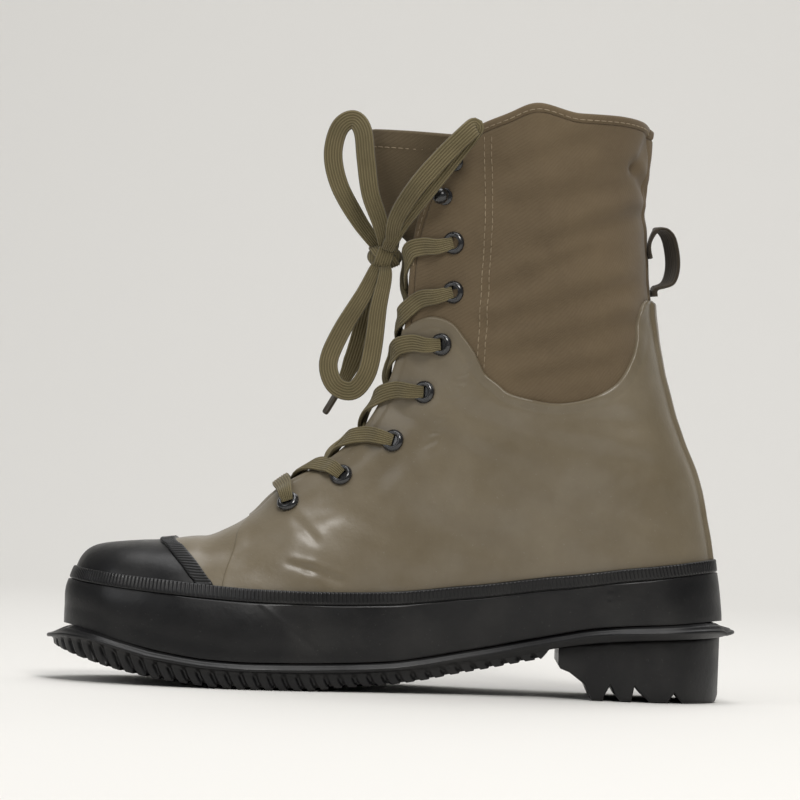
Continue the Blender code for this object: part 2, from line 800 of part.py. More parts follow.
def make_outsole(looks):
    edges = {side: inset_edge(side, lambda t: 0.0) for side in (-1, 1)}
    roots = {side: inset_edge(side, flange_at) for side in (-1, 1)}
    lips = {side: inset_edge(side, lambda t: LIP_INSET) for side in (-1, 1)}
    tip = 0.0002
    rings = []
    for x in section_places(-LENGTH / 2 + tip, LENGTH / 2 - tip, 30):
        top = sole_level(x, "top")
        lip = sole_level(x, "lip")
        ring = []
        for side, order in ((-1, 1), (1, -1)):
            edge = edges[side](x)
            middle = (edges[-1](x) + edges[1](x)) / 2
            root = roots[side](x)
            if side * (root - middle) < tip:
                root = middle + side * tip
            edge_top = max(top - FLANGE_DROOP * abs(edge - root), lip + FLANGE_EDGE)
            low = lips[side](x)
            if side * (low - middle) < tip:
                low = middle + side * tip
            corner = [(x, root, top), (x, edge, edge_top), (x, edge, edge_top - FLANGE_EDGE / 2), (x, low, lip)]
            ring += corner[::order]
        rings.append(ring)
    sole = piece("outsole", lofted(rings), looks["black"])

    first = -LENGTH / 2 + TREAD_INSET + TREAD_TIP
    last = x_of(0.742) - HEEL_SEAT * 0.12
    treads = {side: inset_edge(side, lambda t: TREAD_INSET) for side in (-1, 1)}
    count = round((last - first) / TOOTH_PITCH)
    pitch = (last - first) / count
    rings = []
    for tooth in range(count):
        for share, standing in ((0.0, 0), (0.12, 1), (0.70, 1), (0.82, 0)):
            x = first + (tooth + share) * pitch
            rings.append(tread_ring(x, standing, treads))
    rings.append(tread_ring(last, 0, treads))
    tread = piece("tread", lofted(rings), None, CUTTERS)
    cut(sole, tread, "tread", "UNION")


def tread_ring(x, standing, treads):
    """Section of the toothed tread; a gap between teeth is shallower and narrower."""
    top = (sole_level(x, "top") + sole_level(x, "lip")) / 2
    groove = 0.0 if standing else TOOTH_SIDE_GROOVE
    bottom = sole_level(x, "tread") + (0.0 if standing else TOOTH_NOTCH)
    middle = (treads[-1](x) + treads[1](x)) / 2
    inner = min(treads[-1](x) + groove, middle - TREAD_TIP)
    outer = max(treads[1](x) - groove, middle + TREAD_TIP)
    lean = TOOTH_LEAN * (top - bottom)
    return [(x, inner, top), (x + lean, inner, bottom), (x + lean, outer, bottom), (x, outer, top)]


def make_heel(looks):
    edges = {side: inset_edge(side, lambda t: HEEL_INSET) for side in (-1, 1)}
    back = LENGTH / 2 - HEEL_INSET - 0.0002
    rings = []
    for lug in HEEL_LUGS:
        x = back - HEEL_LENGTH * (1 - lug.place)
        low = LUG_DEPTH * lug.height
        high = sole_level(x, "lip") - GAP
        rings.append([(x, edges[-1](x), high), (x, edges[-1](x), low), (x, edges[1](x), low), (x, edges[1](x), high)])
    piece("heel", lofted(rings), looks["black"])


def make_insole(looks):
    inset = UPPER_INSET + WALL + 2 * GAP
    edges = {side: inset_edge(side, lambda t: flange_at(t) + inset) for side in (-1, 1)}
    first = -LENGTH / 2 + flange_at(0) + inset
    last = LENGTH / 2 - flange_at(STATIONS) - inset
    tip = 0.0006
    rings = []
    for x in section_places(first + tip, last - tip, 18):
        low = sole_level(x, "top") + GAP
        rings.append(
            [
                (x, edges[-1](x), low + INSOLE),
                (x, edges[-1](x), low),
                (x, edges[1](x), low),
                (x, edges[1](x), low + INSOLE),
            ]
        )
    piece("insole", lofted(rings), looks["lining"])


def make_tongue(looks):
    depth = -(WALL + TONGUE / 2 + TONGUE_PLAY)
    rows = []
    for at in steps(0, len(TONGUE_FOLDS) - 1, TONGUE_ROWS):
        fold = Fold(*(steady(TONGUE_FOLDS, at, name, key=None) for name in Fold._fields))
        halves = {}
        for side in (-1, 1):
            half = []
            for share in (0.0, 0.34, 0.68, 1.0):
                t = fold.wing + (fold.edge - fold.wing) * share
                v = fold.up + (1.0 - fold.up) * share
                half.append(upper_point(side, t, min(v, 0.999), depth))
            halves[side] = half
        centre = (halves[-1][-1] + halves[1][-1]) / 2
        way = rib_normal(-1, fold.edge, 1.0) + rib_normal(1, fold.edge, 1.0)
        way.y = 0.0
        front = centre + way.normalized() * fold.forward + Vector((0, 0, fold.lift))
        for side in (-1, 1):
            near = halves[side][-1].lerp(centre, 0.3)
            bend = near.lerp(front, 0.5)
            bend.y = near.y * (0.5 + 0.4 * min(fold.forward / TONGUE_FORWARD, 1.0))
            halves[side] += [near, bend]
        rows.append(halves[-1] + [front] + halves[1][::-1])
    bm = bmesh.new()
    grid = [[bm.verts.new(p) for p in row] for row in rows]
    for a, b in zip(grid, grid[1:]):
        for k in range(len(a) - 1):
            bm.faces.new((a[k], a[k + 1], b[k + 1], b[k]))
    bmesh.ops.recalc_face_normals(bm, faces=bm.faces)
    mesh = bpy.data.meshes.new("tongue")
    bm.to_mesh(mesh)
    bm.free()
    mesh.materials.append(looks["canvas"])
    mesh.shade_smooth()
    obj = bpy.data.objects.new("tongue", mesh)
    PIECES.objects.link(obj)
    wall = obj.modifiers.new("wall", "SOLIDIFY")
    wall.thickness = TONGUE
    wall.offset = 0.0


def make_eyelets(looks, pierced):
    holes = bmesh.new()
    for side, word in ((-1, "inner"), (1, "outer")):
        for number, fitting in enumerate(EYELETS, 1):
            offset = COAT_HIGH + EYELET_SEAT if number <= RUBBER_EYELETS else CANVAS_SEAT
            point, normal = fitting_frame(fitting, side, offset)
            profile = [
                (EYELET_HOLE, 0.0),
                (EYELET_RADIUS, 0.0),
                (EYELET_RADIUS * 0.8, EYELET_HEIGHT),
                (EYELET_HOLE, EYELET_HEIGHT * 0.7),
            ]
            piece(f"eyelet_{word}_{number}", seat(turned(profile, 8), point, normal), looks["metal"])
            rod = bmesh.ops.create_cone(
                holes,
                cap_ends=True,
                segments=6,
                radius1=EYELET_HOLE + HOLE_CLEARANCE,
                radius2=EYELET_HOLE + HOLE_CLEARANCE,
                depth=4 * (WALL + RUBBER),
            )["verts"]
            turn = normal.to_track_quat("Z", "Y").to_matrix().to_4x4()
            bmesh.ops.transform(holes, matrix=Matrix.Translation(point) @ turn, verts=rod)
    cutter = piece("cut_eyelet_holes", holes, None, CUTTERS)
    for obj in pierced:
        cut(obj, cutter, "eyelet holes")


def make_hooks(looks):
    for side, word in ((-1, "inner"), (1, "outer")):
        for number, fitting in enumerate(HOOKS, 1):
            point, normal = fitting_frame(fitting, side, CANVAS_SEAT)
            profile = [
                (0.0, 0.0),
                (HOOK_BALL * 1.05, 0.0),
                (HOOK_NECK, HOOK_BALL * 0.3),
                (HOOK_NECK, HOOK_BALL * 0.65),
                (HOOK_BALL, HOOK_BALL * 1.1),
                (HOOK_BALL * 0.85, HOOK_BALL * 1.75),
                (0.0, HOOK_BALL * 2.1),
            ]
            piece(f"hook_{word}_{number}", seat(turned(profile, 8), point, normal), looks["metal"])


def make_pull_loop(looks):
    def back(rise, reach):
        v = rung(-1, STATIONS, lambda x: height_of(1.0, rise) - sole_level(x, "top"))
        return upper_point(-1, STATIONS, v, close + reach * PULL_REACH)

    close = 2 * GAP + PULL_THICK / 2
    path = through([back(turn.rise, turn.reach) for turn in PULL_TURNS], 2)
    facing = []
    for i in range(len(path)):
        way = (path[min(i + 1, len(path) - 1)] - path[max(i - 1, 0)]).normalized()
        facing.append(Vector((0, 1, 0)).cross(way))
    piece("pull_loop", ribbon(path, facing, PULL_WIDTH, PULL_THICK), looks["black"])


def over_face(side, t, v, level):
    return upper_point(side, t, v, level), rib_normal(side, t, v)


def make_crossings(looks):
    """Lace over the throat: each strand runs from an eyelet down to the other edge."""
    over_eyelet = COAT_HIGH + EYELET_SEAT + EYELET_HEIGHT + LACE_THICK / 2 + LACE_PLAY
    over_edge = COAT_HIGH + LACE_THICK / 2 + LACE_EDGE_PLAY

    def strand(side, fitting, target, level, hump):
        near = over_face(side, fitting.rib, fitting.up, over_eyelet)
        half = over_face(side, (fitting.rib + fitting.edge) / 2, (fitting.up + 1) / 2, over_eyelet)
        point, facing = over_face(side, fitting.edge, 0.999, over_edge)
        end = over_face(-side, target.edge, 0.999, level)
        edge = (point + (end[0] - point).normalized() * LACE_REACH, facing)
        way = facing + end[1]
        way.y = 0.0
        way.normalize()
        middle = ((edge[0] + end[0]) / 2 + way * hump, way)
        far = (end[0] + (middle[0] - end[0]).normalized() * LACE_TUCK, end[1])
        return [near, half, edge, middle, far]

    lowest = EYELETS[0]
    left = strand(-1, lowest, lowest, over_edge, LACE_HUMP)[:-2]
    right = strand(1, lowest, lowest, over_edge, LACE_HUMP)[:-2]
    way = left[-1][1] + right[-1][1]
    way.normalize()
    top = ((left[-1][0] + right[-1][0]) / 2 + way * (LACE_HUMP + LACE_THICK) / 2, way)
    piece("lace_crossing_1", ribbon(*zip(*left, top, *right[::-1]), LACE_WIDTH, LACE_THICK), looks["lace"])
    for number, (below, fitting) in enumerate(zip(EYELETS, EYELETS[1:]), 2):
        ribbons = [
            ribbon(*zip(*strand(side, fitting, below, RUBBER / 2, LACE_HUMP)), LACE_WIDTH, LACE_THICK)
            for side in (-1, 1)
        ]
        crossing = piece(f"lace_crossing_{number}", ribbons[0], looks["lace"])
        cut(crossing, piece(f"strand_{number}", ribbons[1], None, CUTTERS), "strand", "UNION")


def flat_lace(name, points, looks):
    """Flat lace along points given from the knot, turned to face outwards."""
    path = through([Vector(KNOT_AT) + Vector(p) for p in points], 2)
    faces = []
    for i in range(len(path)):
        way = (path[min(i + 1, len(path) - 1)] - path[max(i - 1, 0)]).normalized()
        faces.append((Vector((0, -1, 0)) - way * -way.y).normalized())
    piece(name, ribbon(path, faces, LACE_WIDTH, LACE_THICK), looks["lace"])


def make_bow(looks):
    knot = bmesh.new()
    bmesh.ops.create_uvsphere(knot, u_segments=12, v_segments=8, radius=1.0)
    bmesh.ops.scale(knot, vec=KNOT_SIZE, verts=knot.verts)
    bmesh.ops.translate(knot, vec=KNOT_AT, verts=knot.verts)
    piece("lace_knot", knot, looks["lace"])
    flat_lace("lace_loop_up", LOOP_UP, looks)
    flat_lace("lace_loop_back", LOOP_BACK, looks)
    flat_lace("lace_loop_down", LOOP_DOWN, looks)
    flat_lace("lace_end", LOOSE_END, looks)
    start, stop = (Vector(KNOT_AT) + Vector(p) for p in AGLET)
    rod = bmesh.new()
    length = (stop - start).length
    bmesh.ops.create_cone(
        rod, cap_ends=True, segments=8, radius1=AGLET_RADIUS, radius2=AGLET_RADIUS, depth=length
    )
    turn = (stop - start).to_track_quat("Z", "Y").to_matrix().to_4x4()
    bmesh.ops.transform(rod, matrix=Matrix.Translation((start + stop) / 2) @ turn, verts=rod.verts)
    piece("lace_aglet", rod, looks["metal"])


def main():
    for obj in list(bpy.data.objects):
        bpy.data.objects.remove(obj, do_unlink=True)
    for collection in (PIECES, CUTTERS):
        bpy.context.scene.collection.children.link(collection)
    looks = {
        "olive": material("coated_rubber", OLIVE),
        "canvas": material("canvas", CANVAS),
        "black": material("black_rubber", BLACK),
        "lace": material("lace", LACE),
        "metal": material("eyelet_metal", METAL),
        "lining": material("lining", LINING),
    }
    upper = make_upper(looks)
    quarters = list(make_coats(looks))
    make_toe_strip(looks)
    make_foxing(looks)
    make_back_strip(looks)
    make_outsole(looks)
    make_heel(looks)
    make_insole(looks)
    make_tongue(looks)
    make_eyelets(looks, [upper] + quarters)
    make_hooks(looks)
    make_pull_loop(looks)
    make_crossings(looks)
    make_bow(looks)


main()
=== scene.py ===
"""Rubber-coated lace-up boot, right foot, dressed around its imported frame.

Metres, +Z up, toe towards -X, inner side of the foot towards -Y. Pieces follow one another as the
boot is put together: sole, heel, upper, coats, foxing, tongue, eyelets, laces.
"""
import math
from collections import namedtuple

import bmesh
import bpy
import numpy as np
from mathutils import Matrix, Vector


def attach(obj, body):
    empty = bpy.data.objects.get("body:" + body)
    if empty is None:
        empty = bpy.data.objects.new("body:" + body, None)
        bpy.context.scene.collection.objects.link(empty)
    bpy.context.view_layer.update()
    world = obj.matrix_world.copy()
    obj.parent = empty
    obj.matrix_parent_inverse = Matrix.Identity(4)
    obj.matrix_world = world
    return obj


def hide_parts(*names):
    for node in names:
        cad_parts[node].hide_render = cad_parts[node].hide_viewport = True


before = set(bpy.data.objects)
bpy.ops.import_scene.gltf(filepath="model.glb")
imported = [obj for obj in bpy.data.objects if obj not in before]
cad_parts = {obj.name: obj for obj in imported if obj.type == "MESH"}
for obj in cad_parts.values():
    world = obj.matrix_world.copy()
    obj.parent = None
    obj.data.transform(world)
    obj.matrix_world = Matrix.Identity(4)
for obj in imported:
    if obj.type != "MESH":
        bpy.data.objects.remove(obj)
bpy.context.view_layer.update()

# Stage
# A pale floor that sweeps up into its backdrop, under large soft lights. The camera looks square
# at the inner side from far off, a little rolled, as the boot lies in the picture.
CAMERA_FAR = 2.35
CAMERA_HEIGHT = 0.131
FRAME_WIDTH = 0.362
ROLL = math.radians(2.2)
SENSOR = 36.0
camera_data = bpy.data.cameras.new("camera")
camera_data.sensor_width = SENSOR
camera_data.lens = SENSOR * CAMERA_FAR / FRAME_WIDTH
camera_data.clip_end = 20.0
camera = bpy.data.objects.new("camera", camera_data)
camera.matrix_world = (
    Matrix.Translation((0.0, -CAMERA_FAR, CAMERA_HEIGHT))
    @ Matrix.Rotation(math.pi / 2, 4, "X")
    @ Matrix.Rotation(ROLL, 4, "Z")
)
bpy.context.collection.objects.link(camera)
bpy.context.scene.camera = camera


def light(name, place, aim, size, watts, colour):
    data = bpy.data.lights.new(name, "AREA")
    data.shape = "DISK"
    data.size = size
    data.energy = watts
    data.color = colour
    lamp = bpy.data.objects.new(name, data)
    lamp.location = place
    lamp.rotation_euler = (Vector(aim) - Vector(place)).to_track_quat("-Z", "Y").to_euler()
    bpy.context.collection.objects.link(lamp)


BOOT_MIDDLE = (0.0, 0.0, 0.12)
light("key", (0.50, -1.50, 1.75), BOOT_MIDDLE, 0.8, 25.0, (1.0, 0.985, 0.96))
light("fill", (-1.6, -1.2, 1.2), BOOT_MIDDLE, 1.2, 6.5, (0.97, 0.985, 1.0))
light("top", (0.1, 0.0, 2.1), BOOT_MIDDLE, 1.6, 22.0, (1.0, 1.0, 1.0))
light("behind", (0.5, 0.9, 1.5), BOOT_MIDDLE, 1.2, 6.0, (1.0, 1.0, 1.0))

world = bpy.data.worlds.new("room")
world.use_nodes = True
air = world.node_tree.nodes["Background"].inputs
air["Color"].default_value = (0.93, 0.94, 0.95, 1.0)
air["Strength"].default_value = 0.18
bpy.context.scene.world = world
bpy.context.scene.view_settings.view_transform = "Standard"

SWEEP_RADIUS = 0.7
SWEEP_BACK = 1.1
SWEEP_REACH = 3.2
SWEEP_RISE = 2.0
SWEEP_HALF_WIDTH = 3.5
SWEEP_ARC = SWEEP_RADIUS * math.pi / 2
SWEEP_RUN = SWEEP_REACH + SWEEP_BACK + SWEEP_ARC + SWEEP_RISE
sweep = bmesh.new()
bmesh.ops.create_grid(sweep, x_segments=8, y_segments=96, size=1.0)
for vert in sweep.verts:
    run = (vert.co.y + 1.0) * SWEEP_RUN / 2 - SWEEP_REACH
    turn = min(max((run - SWEEP_BACK) / SWEEP_RADIUS, 0.0), math.pi / 2)
    past = max(run - SWEEP_BACK - SWEEP_ARC, 0.0)
    vert.co = (
        vert.co.x * SWEEP_HALF_WIDTH,
        min(run, SWEEP_BACK) + SWEEP_RADIUS * math.sin(turn),
        SWEEP_RADIUS * (1 - math.cos(turn)) + past,
    )
sweep_mesh = bpy.data.meshes.new("floor")
sweep.to_mesh(sweep_mesh)
sweep.free()
sweep_mesh.shade_smooth()
floor = bpy.data.objects.new("floor", sweep_mesh)
bpy.context.collection.objects.link(floor)
floor_look = bpy.data.materials.new("pale_floor")
floor_look.use_nodes = True
floor_shader = floor_look.node_tree.nodes["Principled BSDF"]
floor_shader.inputs["Base Color"].default_value = (0.80, 0.785, 0.755, 1.0)
floor_shader.inputs["Roughness"].default_value = 0.9
floor.data.materials.append(floor_look)
floor_tree = floor_look.node_tree
facing = floor_tree.nodes.new("ShaderNodeNewGeometry")
clear = floor_tree.nodes.new("ShaderNodeBsdfTransparent")
either = floor_tree.nodes.new("ShaderNodeMixShader")
floor_tree.links.new(facing.outputs["Backfacing"], either.inputs[0])
floor_tree.links.new(floor_shader.outputs["BSDF"], either.inputs[1])
floor_tree.links.new(clear.outputs["BSDF"], either.inputs[2])
floor_tree.links.new(either.outputs["Shader"], floor_tree.nodes["Material Output"].inputs["Surface"])

# Outsole
# One moulding of black rubber: a thin flange round the whole boot, with a fine step near its
# edge, and below it the toothed tread, whose grooves run up the side wall, leaning forward.
LENGTH = 0.310
SOLE_WIDTH = 0.107
HEEL_SEAT = 0.0367
FLANGE = 0.008
FLANGE_DROOP = 0.55
FLANGE_EDGE = 0.0016
LIP_INSET = 0.0022
TREAD_INSET = 0.0030
TOOTH_PITCH = 0.0066
TOOTH_NOTCH = 0.0022
TOOTH_SIDE_GROOVE = 0.0012
TOOTH_LEAN = 0.51
STATIONS = 17
AROUND = 2 * STATIONS

Edge = namedtuple("Edge", "place inner outer flange")
OUTLINE = [
    Edge(0.000, -0.075, -0.075, 1.00),
    Edge(0.0226, -0.243, 0.112, 1.00),
    Edge(0.0645, -0.355, 0.271, 0.85),
    Edge(0.129, -0.430, 0.383, 0.65),
    Edge(0.210, -0.472, 0.458, 0.50),
    Edge(0.290, -0.477, 0.505, 0.50),
    Edge(0.371, -0.430, 0.523, 0.50),
    Edge(0.468, -0.346, 0.505, 0.50),
    Edge(0.5645, -0.290, 0.449, 0.50),
    Edge(0.661, -0.280, 0.402, 0.50),
    Edge(0.758, -0.313, 0.379, 0.50),
    Edge(0.839, -0.341, 0.360, 0.55),
    Edge(0.881, -0.332, 0.346, 0.60),
    Edge(0.919, -0.308, 0.318, 0.65),
    Edge(0.948, -0.262, 0.266, 0.70),
    Edge(0.971, -0.196, 0.196, 0.75),
    Edge(0.989, -0.117, 0.117, 0.80),
    Edge(1.000, 0.000, 0.000, 0.80),
]
SoleRow = namedtuple("SoleRow", "place top lip tread")
SOLE = [
    SoleRow(0.000, 0.559, 0.507, 0.420),
    SoleRow(0.024, 0.681, 0.540, 0.354),
    SoleRow(0.0645, 0.616, 0.512, 0.259),
    SoleRow(0.113, 0.520, 0.414, 0.163),
    SoleRow(0.177, 0.411, 0.294, 0.079),
    SoleRow(0.242, 0.343, 0.237, 0.025),
    SoleRow(0.300, 0.327, 0.221, 0.000),
    SoleRow(0.375, 0.335, 0.215, 0.000),
    SoleRow(0.435, 0.351, 0.223, 0.052),
    SoleRow(0.500, 0.384, 0.270, 0.101),
    SoleRow(0.548, 0.444, 0.308, 0.166),
    SoleRow(0.597, 0.526, 0.395, 0.262),
    SoleRow(0.645, 0.608, 0.463, 0.349),
    SoleRow(0.694, 0.700, 0.550, 0.447),
    SoleRow(0.742, 0.790, 0.646, 0.526),
    SoleRow(0.790, 0.872, 0.714, 0.600),
    SoleRow(0.839, 0.921, 0.757, 0.650),
    SoleRow(0.903, 0.956, 0.790, 0.680),
    SoleRow(0.979, 1.000, 0.826, 0.700),
    SoleRow(1.000, 0.921, 0.850, 0.700),
]


def curved(first, last, leaving, arriving, s):
    """Curve from a first value to a last one, with its steps on leaving and on arriving."""
    return (
        first * (2 * s**3 - 3 * s**2 + 1)
        + leaving * (s**3 - 2 * s**2 + s)
        + last * (3 * s**2 - 2 * s**3)
        + arriving * (s**3 - s**2)
    )


def steady(rows, at, column, key="place"):
    """Values of a column between rows, by a curve that never overshoots them."""
    places = np.array([getattr(row, key) for row in rows] if key else range(len(rows)), float)
    values = np.array([getattr(row, column) for row in rows], float)
    at = np.clip(at, places[0], places[-1])
    i = np.clip(np.searchsorted(places, at, side="left") - 1, 0, len(places) - 2)
    slopes = np.diff(values) / np.diff(places)
    product = slopes[:-1] * slopes[1:]
    sums = np.where(product > 0, slopes[:-1] + slopes[1:], 1.0)
    inside = np.where(product > 0, 2 * product / sums, 0.0)
    tangents = np.concatenate([slopes[:1], inside, slopes[-1:]])
    span = np.diff(places)[i]
    s = (at - places[i]) / span
    return curved(values[i], values[i + 1], span * tangents[i], span * tangents[i + 1], s)


def x_of(place):
    return (place - 0.5) * LENGTH


def sole_level(x, column):
    return HEEL_SEAT * steady(SOLE, x / LENGTH + 0.5, column)


MIDDLE = 0.5 * SOLE_WIDTH * (max(row.outer for row in OUTLINE) + min(row.inner for row in OUTLINE))
LOOP = np.array(
    [(x_of(e.place), e.inner * SOLE_WIDTH - MIDDLE) for e in OUTLINE]
    + [(x_of(e.place), e.outer * SOLE_WIDTH - MIDDLE) for e in OUTLINE[-2:0:-1]]
)


def long(rows):
    return np.sqrt((rows**2).sum(axis=-1, keepdims=True))


def run_along(points):
    """Distance from the first point of a line to each of them."""
    return np.concatenate([[0.0], np.cumsum(long(np.diff(points, axis=0))[:, 0])])


def outline(at):
    """Points on the outsole's edge, from the toe round the heel and back, and the ways in."""
    at = np.mod(at, AROUND)
    i = np.floor(at).astype(int)
    s = (at - i)[..., None]
    a, b, c, d = (LOOP[(i + k) % AROUND] for k in (-1, 0, 1, 2))
    ab, bc, cd = long(b - a), long(c - b), long(d - c)
    start = ((b - a) / ab * bc + (c - b) / bc * ab) / (ab + bc)
    stop = ((c - b) / bc * cd + (d - c) / cd * bc) / (bc + cd)
    point = curved(b, c, start * bc, stop * bc, s)
    way = (
        b * (6 * s**2 - 6 * s)
        + start * bc * (3 * s**2 - 4 * s + 1)
        + c * (6 * s - 6 * s**2)
        + stop * bc * (3 * s**2 - 2 * s)
    )
    way = way / long(way)
    return point, np.stack([-way[..., 1], way[..., 0]], axis=-1)


def rib_of(at):
    return np.minimum(np.mod(at, AROUND), AROUND - np.mod(at, AROUND))


def flange_at(at):
    return FLANGE * steady(OUTLINE, rib_of(at), "flange", key=None)


ROUND = np.linspace(0, AROUND, 4001)
ROUND_POINTS = outline(ROUND)[0]
ROUND_RUN = run_along(ROUND_POINTS)
PERIMETER = ROUND_RUN[-1]


def evenly(share):
    """Places round the outline that lie evenly along it."""
    return np.interp(np.asarray(share) * PERIMETER, ROUND_RUN, ROUND)


def moved_grid(wide, tall, place, weld=False, reverse=False):
    """Grid whose points are moved by a function of their shares across and up; it gives a map too."""
    bm = bmesh.new()
    uv = bm.loops.layers.uv.new("surface")
    bmesh.ops.create_grid(bm, x_segments=wide, y_segments=tall, size=0.5)
    share = np.array([vert.co[:2] for vert in bm.verts]) + 0.5
    points, flat = place(share[:, 0], share[:, 1])
    for vert, point in zip(bm.verts, points):
        vert.co = point
    for face in bm.faces:
        for corner in face.loops:
            corner[uv].uv = flat[corner.vert.index]
    if reverse:
        bmesh.ops.reverse_faces(bm, faces=bm.faces)
    if weld:
        bmesh.ops.remove_doubles(bm, verts=bm.verts, dist=0.00002)
        bmesh.ops.dissolve_degenerate(bm, dist=0.000001, edges=bm.edges)
    return bm


def finished(name, bm, look, stands_for=(), sharp=50):
    """Mesh as a piece that rides on the boot and stands for its nodes."""
    mesh = bpy.data.meshes.new(name)
    bm.to_mesh(mesh)
    bm.free()
    mesh.shade_smooth()
    mesh.set_sharp_from_angle(angle=math.radians(sharp))
    mesh.materials.append(look)
    obj = bpy.data.objects.new(name, mesh)
    bpy.context.collection.objects.link(obj)
    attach(obj, "root")
    if stands_for:
        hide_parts(*stands_for)
    return obj


def joined(whole, part):
    """Puts one mesh in the making into another."""
    carrier = bpy.data.meshes.new("carrier")
    part.to_mesh(carrier)
    part.free()
    whole.from_mesh(carrier)
    bpy.data.meshes.remove(carrier)


def feed(tree, node, feeds):
    """Sets or links each named input of a node."""
    for socket, given in feeds.items():
        if isinstance(given, bpy.types.NodeSocket):
            tree.links.new(given, node.inputs[socket])
        else:
            node.inputs[socket].default_value = given


def put(tree, kind, feeds=None, **settings):
    """New shader node with its settings, fed."""
    made = tree.nodes.new(kind)
    for key, value in settings.items():
        setattr(made, key, value)
    feed(tree, made, feeds or {})
    return made


def noise(tree, place, scale, detail, roughness=0.5):
    feeds = {"Vector": place, "Scale": scale, "Detail": detail, "Roughness": roughness}
    return put(tree, "ShaderNodeTexNoise", feeds).outputs["Fac"]


def bumped(tree, height, strength, distance, under=None):
    """Normal with a height on it, over another bump where one is given."""
    feeds = {"Height": height, "Strength": strength, "Distance": distance}
    if under:
        feeds["Normal"] = under
    return put(tree, "ShaderNodeBump", feeds).outputs["Normal"]


def new_look(name):
    """New material with its nodes, its shader and the boot's own coordinates."""
    look = bpy.data.materials.new(name)
    look.use_nodes = True
    tree = look.node_tree
    place = tree.nodes.new("ShaderNodeTexCoord").outputs["Object"]
    return look, tree, tree.nodes["Principled BSDF"], place


def new_group(name, taken, given):
    """New node group with its ends; its first input is a vector, and the rest are numbers."""
    group = bpy.data.node_groups.new(name, "ShaderNodeTree")
    for number, socket in enumerate(taken):
        kind = "NodeSocketFloat" if number else "NodeSocketVector"
        group.interface.new_socket(socket, in_out="INPUT", socket_type=kind)
    for socket in given:
        group.interface.new_socket(socket, in_out="OUTPUT", socket_type="NodeSocketFloat")
    return group, group.nodes.new("NodeGroupInput").outputs, group.nodes.new("NodeGroupOutput").inputs


def maths(tree, operation, *feeds):
    return put(tree, "ShaderNodeMath", dict(enumerate(feeds)), operation=operation).outputs[0]


def ramp(tree, feed, stops):
    """Colour ramp with stops of place and grey or colour."""
    made = put(tree, "ShaderNodeValToRGB", {"Fac": feed})
    for number, (place, colour) in enumerate(stops):
        stop = made.color_ramp.elements[number] if number < 2 else made.color_ramp.elements.new(place)
        stop.position = place
        stop.color = (*colour, 1.0) if isinstance(colour, tuple) else (colour, colour, colour, 1.0)
    return made.outputs["Color"]


def blended(tree, share, first, second, way="MIX"):
    made = put(tree, "ShaderNodeMix", data_type="RGBA", blend_type=way)
    for socket, feed in zip((made.inputs[0], made.inputs[6], made.inputs[7]), (share, first, second)):
        if isinstance(feed, bpy.types.NodeSocket):
            tree.links.new(feed, socket)
        elif isinstance(feed, tuple):
            socket.default_value = (*feed, 1.0)
        else:
            socket.default_value = feed
    return made.outputs[2]


def speckle_group():
    """Dust and lint: how much lies at a point, from broad drifts and fine specks."""
    group, enter, leave = new_group("dust_and_lint", ("Place", "Drift Size", "Amount"), ("Dust",))
    drift = ramp(group, noise(group, enter["Place"], enter["Drift Size"], 4.0), [(0.48, 0.0), (0.72, 1.0)])
    fleck = ramp(group, noise(group, enter["Place"], 900.0, 2.0), [(0.69, 0.0), (0.75, 1.0)])
    total = maths(group, "ADD", maths(group, "MULTIPLY", drift, 0.45), maths(group, "MULTIPLY", fleck, 0.8))
    group.links.new(maths(group, "MULTIPLY", total, enter["Amount"]), leave["Dust"])
    return group


DUST = speckle_group()


DUST_COLOUR = (0.42, 0.40, 0.36)


def rubber_look(name, colour, worn, roughness, grain, gloss, dusty):
    """Moulded or dipped rubber: soft mottling, fine skin, hazed patches and a little dust."""
    look, tree, shader, place = new_look(name)
    mottle = noise(tree, place, 26.0, 5.0, 0.6)
    fine = noise(tree, place, 520.0, 3.0)
    haze = noise(tree, place, 55.0, 6.0, 0.7)
    lying = {"Place": place, "Drift Size": 38.0, "Amount": dusty}
    dust = put(tree, "ShaderNodeGroup", lying, node_tree=DUST)
    tint = blended(tree, ramp(tree, mottle, [(0.32, 0.0), (0.70, 1.0)]), colour, worn)
    skin = bumped(tree, fine, grain, 0.00012)
    feeds = {
        "Base Color": blended(tree, dust.outputs["Dust"], tint, DUST_COLOUR),
        "Roughness": ramp(tree, haze, [(0.30, roughness - 0.07), (0.72, roughness + 0.14)]),
        "Coat Weight": gloss,
        "Coat Roughness": 0.22,
        "Specular IOR Level": 0.34,
        "Normal": bumped(tree, haze, 0.35, 0.0006, skin),
    }
    feed(tree, shader, feeds)
    return look


BLACK_RUBBER = rubber_look(
    "black_rubber",
    (0.0036, 0.0035, 0.0039),
    (0.0066, 0.0063, 0.0068),
    roughness=0.37,
    grain=0.5,
    gloss=0.10,
    dusty=0.05,
)

RIM_ROWS = 34
RIM_COLUMNS = 1470
TREAD_END = x_of(0.742) - HEEL_SEAT * 0.12
TREAD_FADE = 0.004
MOST_NOTCH = 0.7
TEETH_ROUND = round(PERIMETER / TOOTH_PITCH)


def groove(phase):
    """Depth of the tooth pattern, 1 in a groove and 0 on a tooth."""
    apart = np.abs(np.mod(phase, 1.0) - 0.5)
    return np.clip((0.17 - apart) / 0.09 + 0.5, 0.0, 1.0) ** 1.5


def tread_level(x, lip):
    """Height of the teeth's tips, and how much of the tread is left towards the heel."""
    fade = np.clip((TREAD_END - x) / TREAD_FADE, 0.0, 1.0)
    return lip + (np.minimum(sole_level(x, "tread"), lip) - lip) * fade, fade


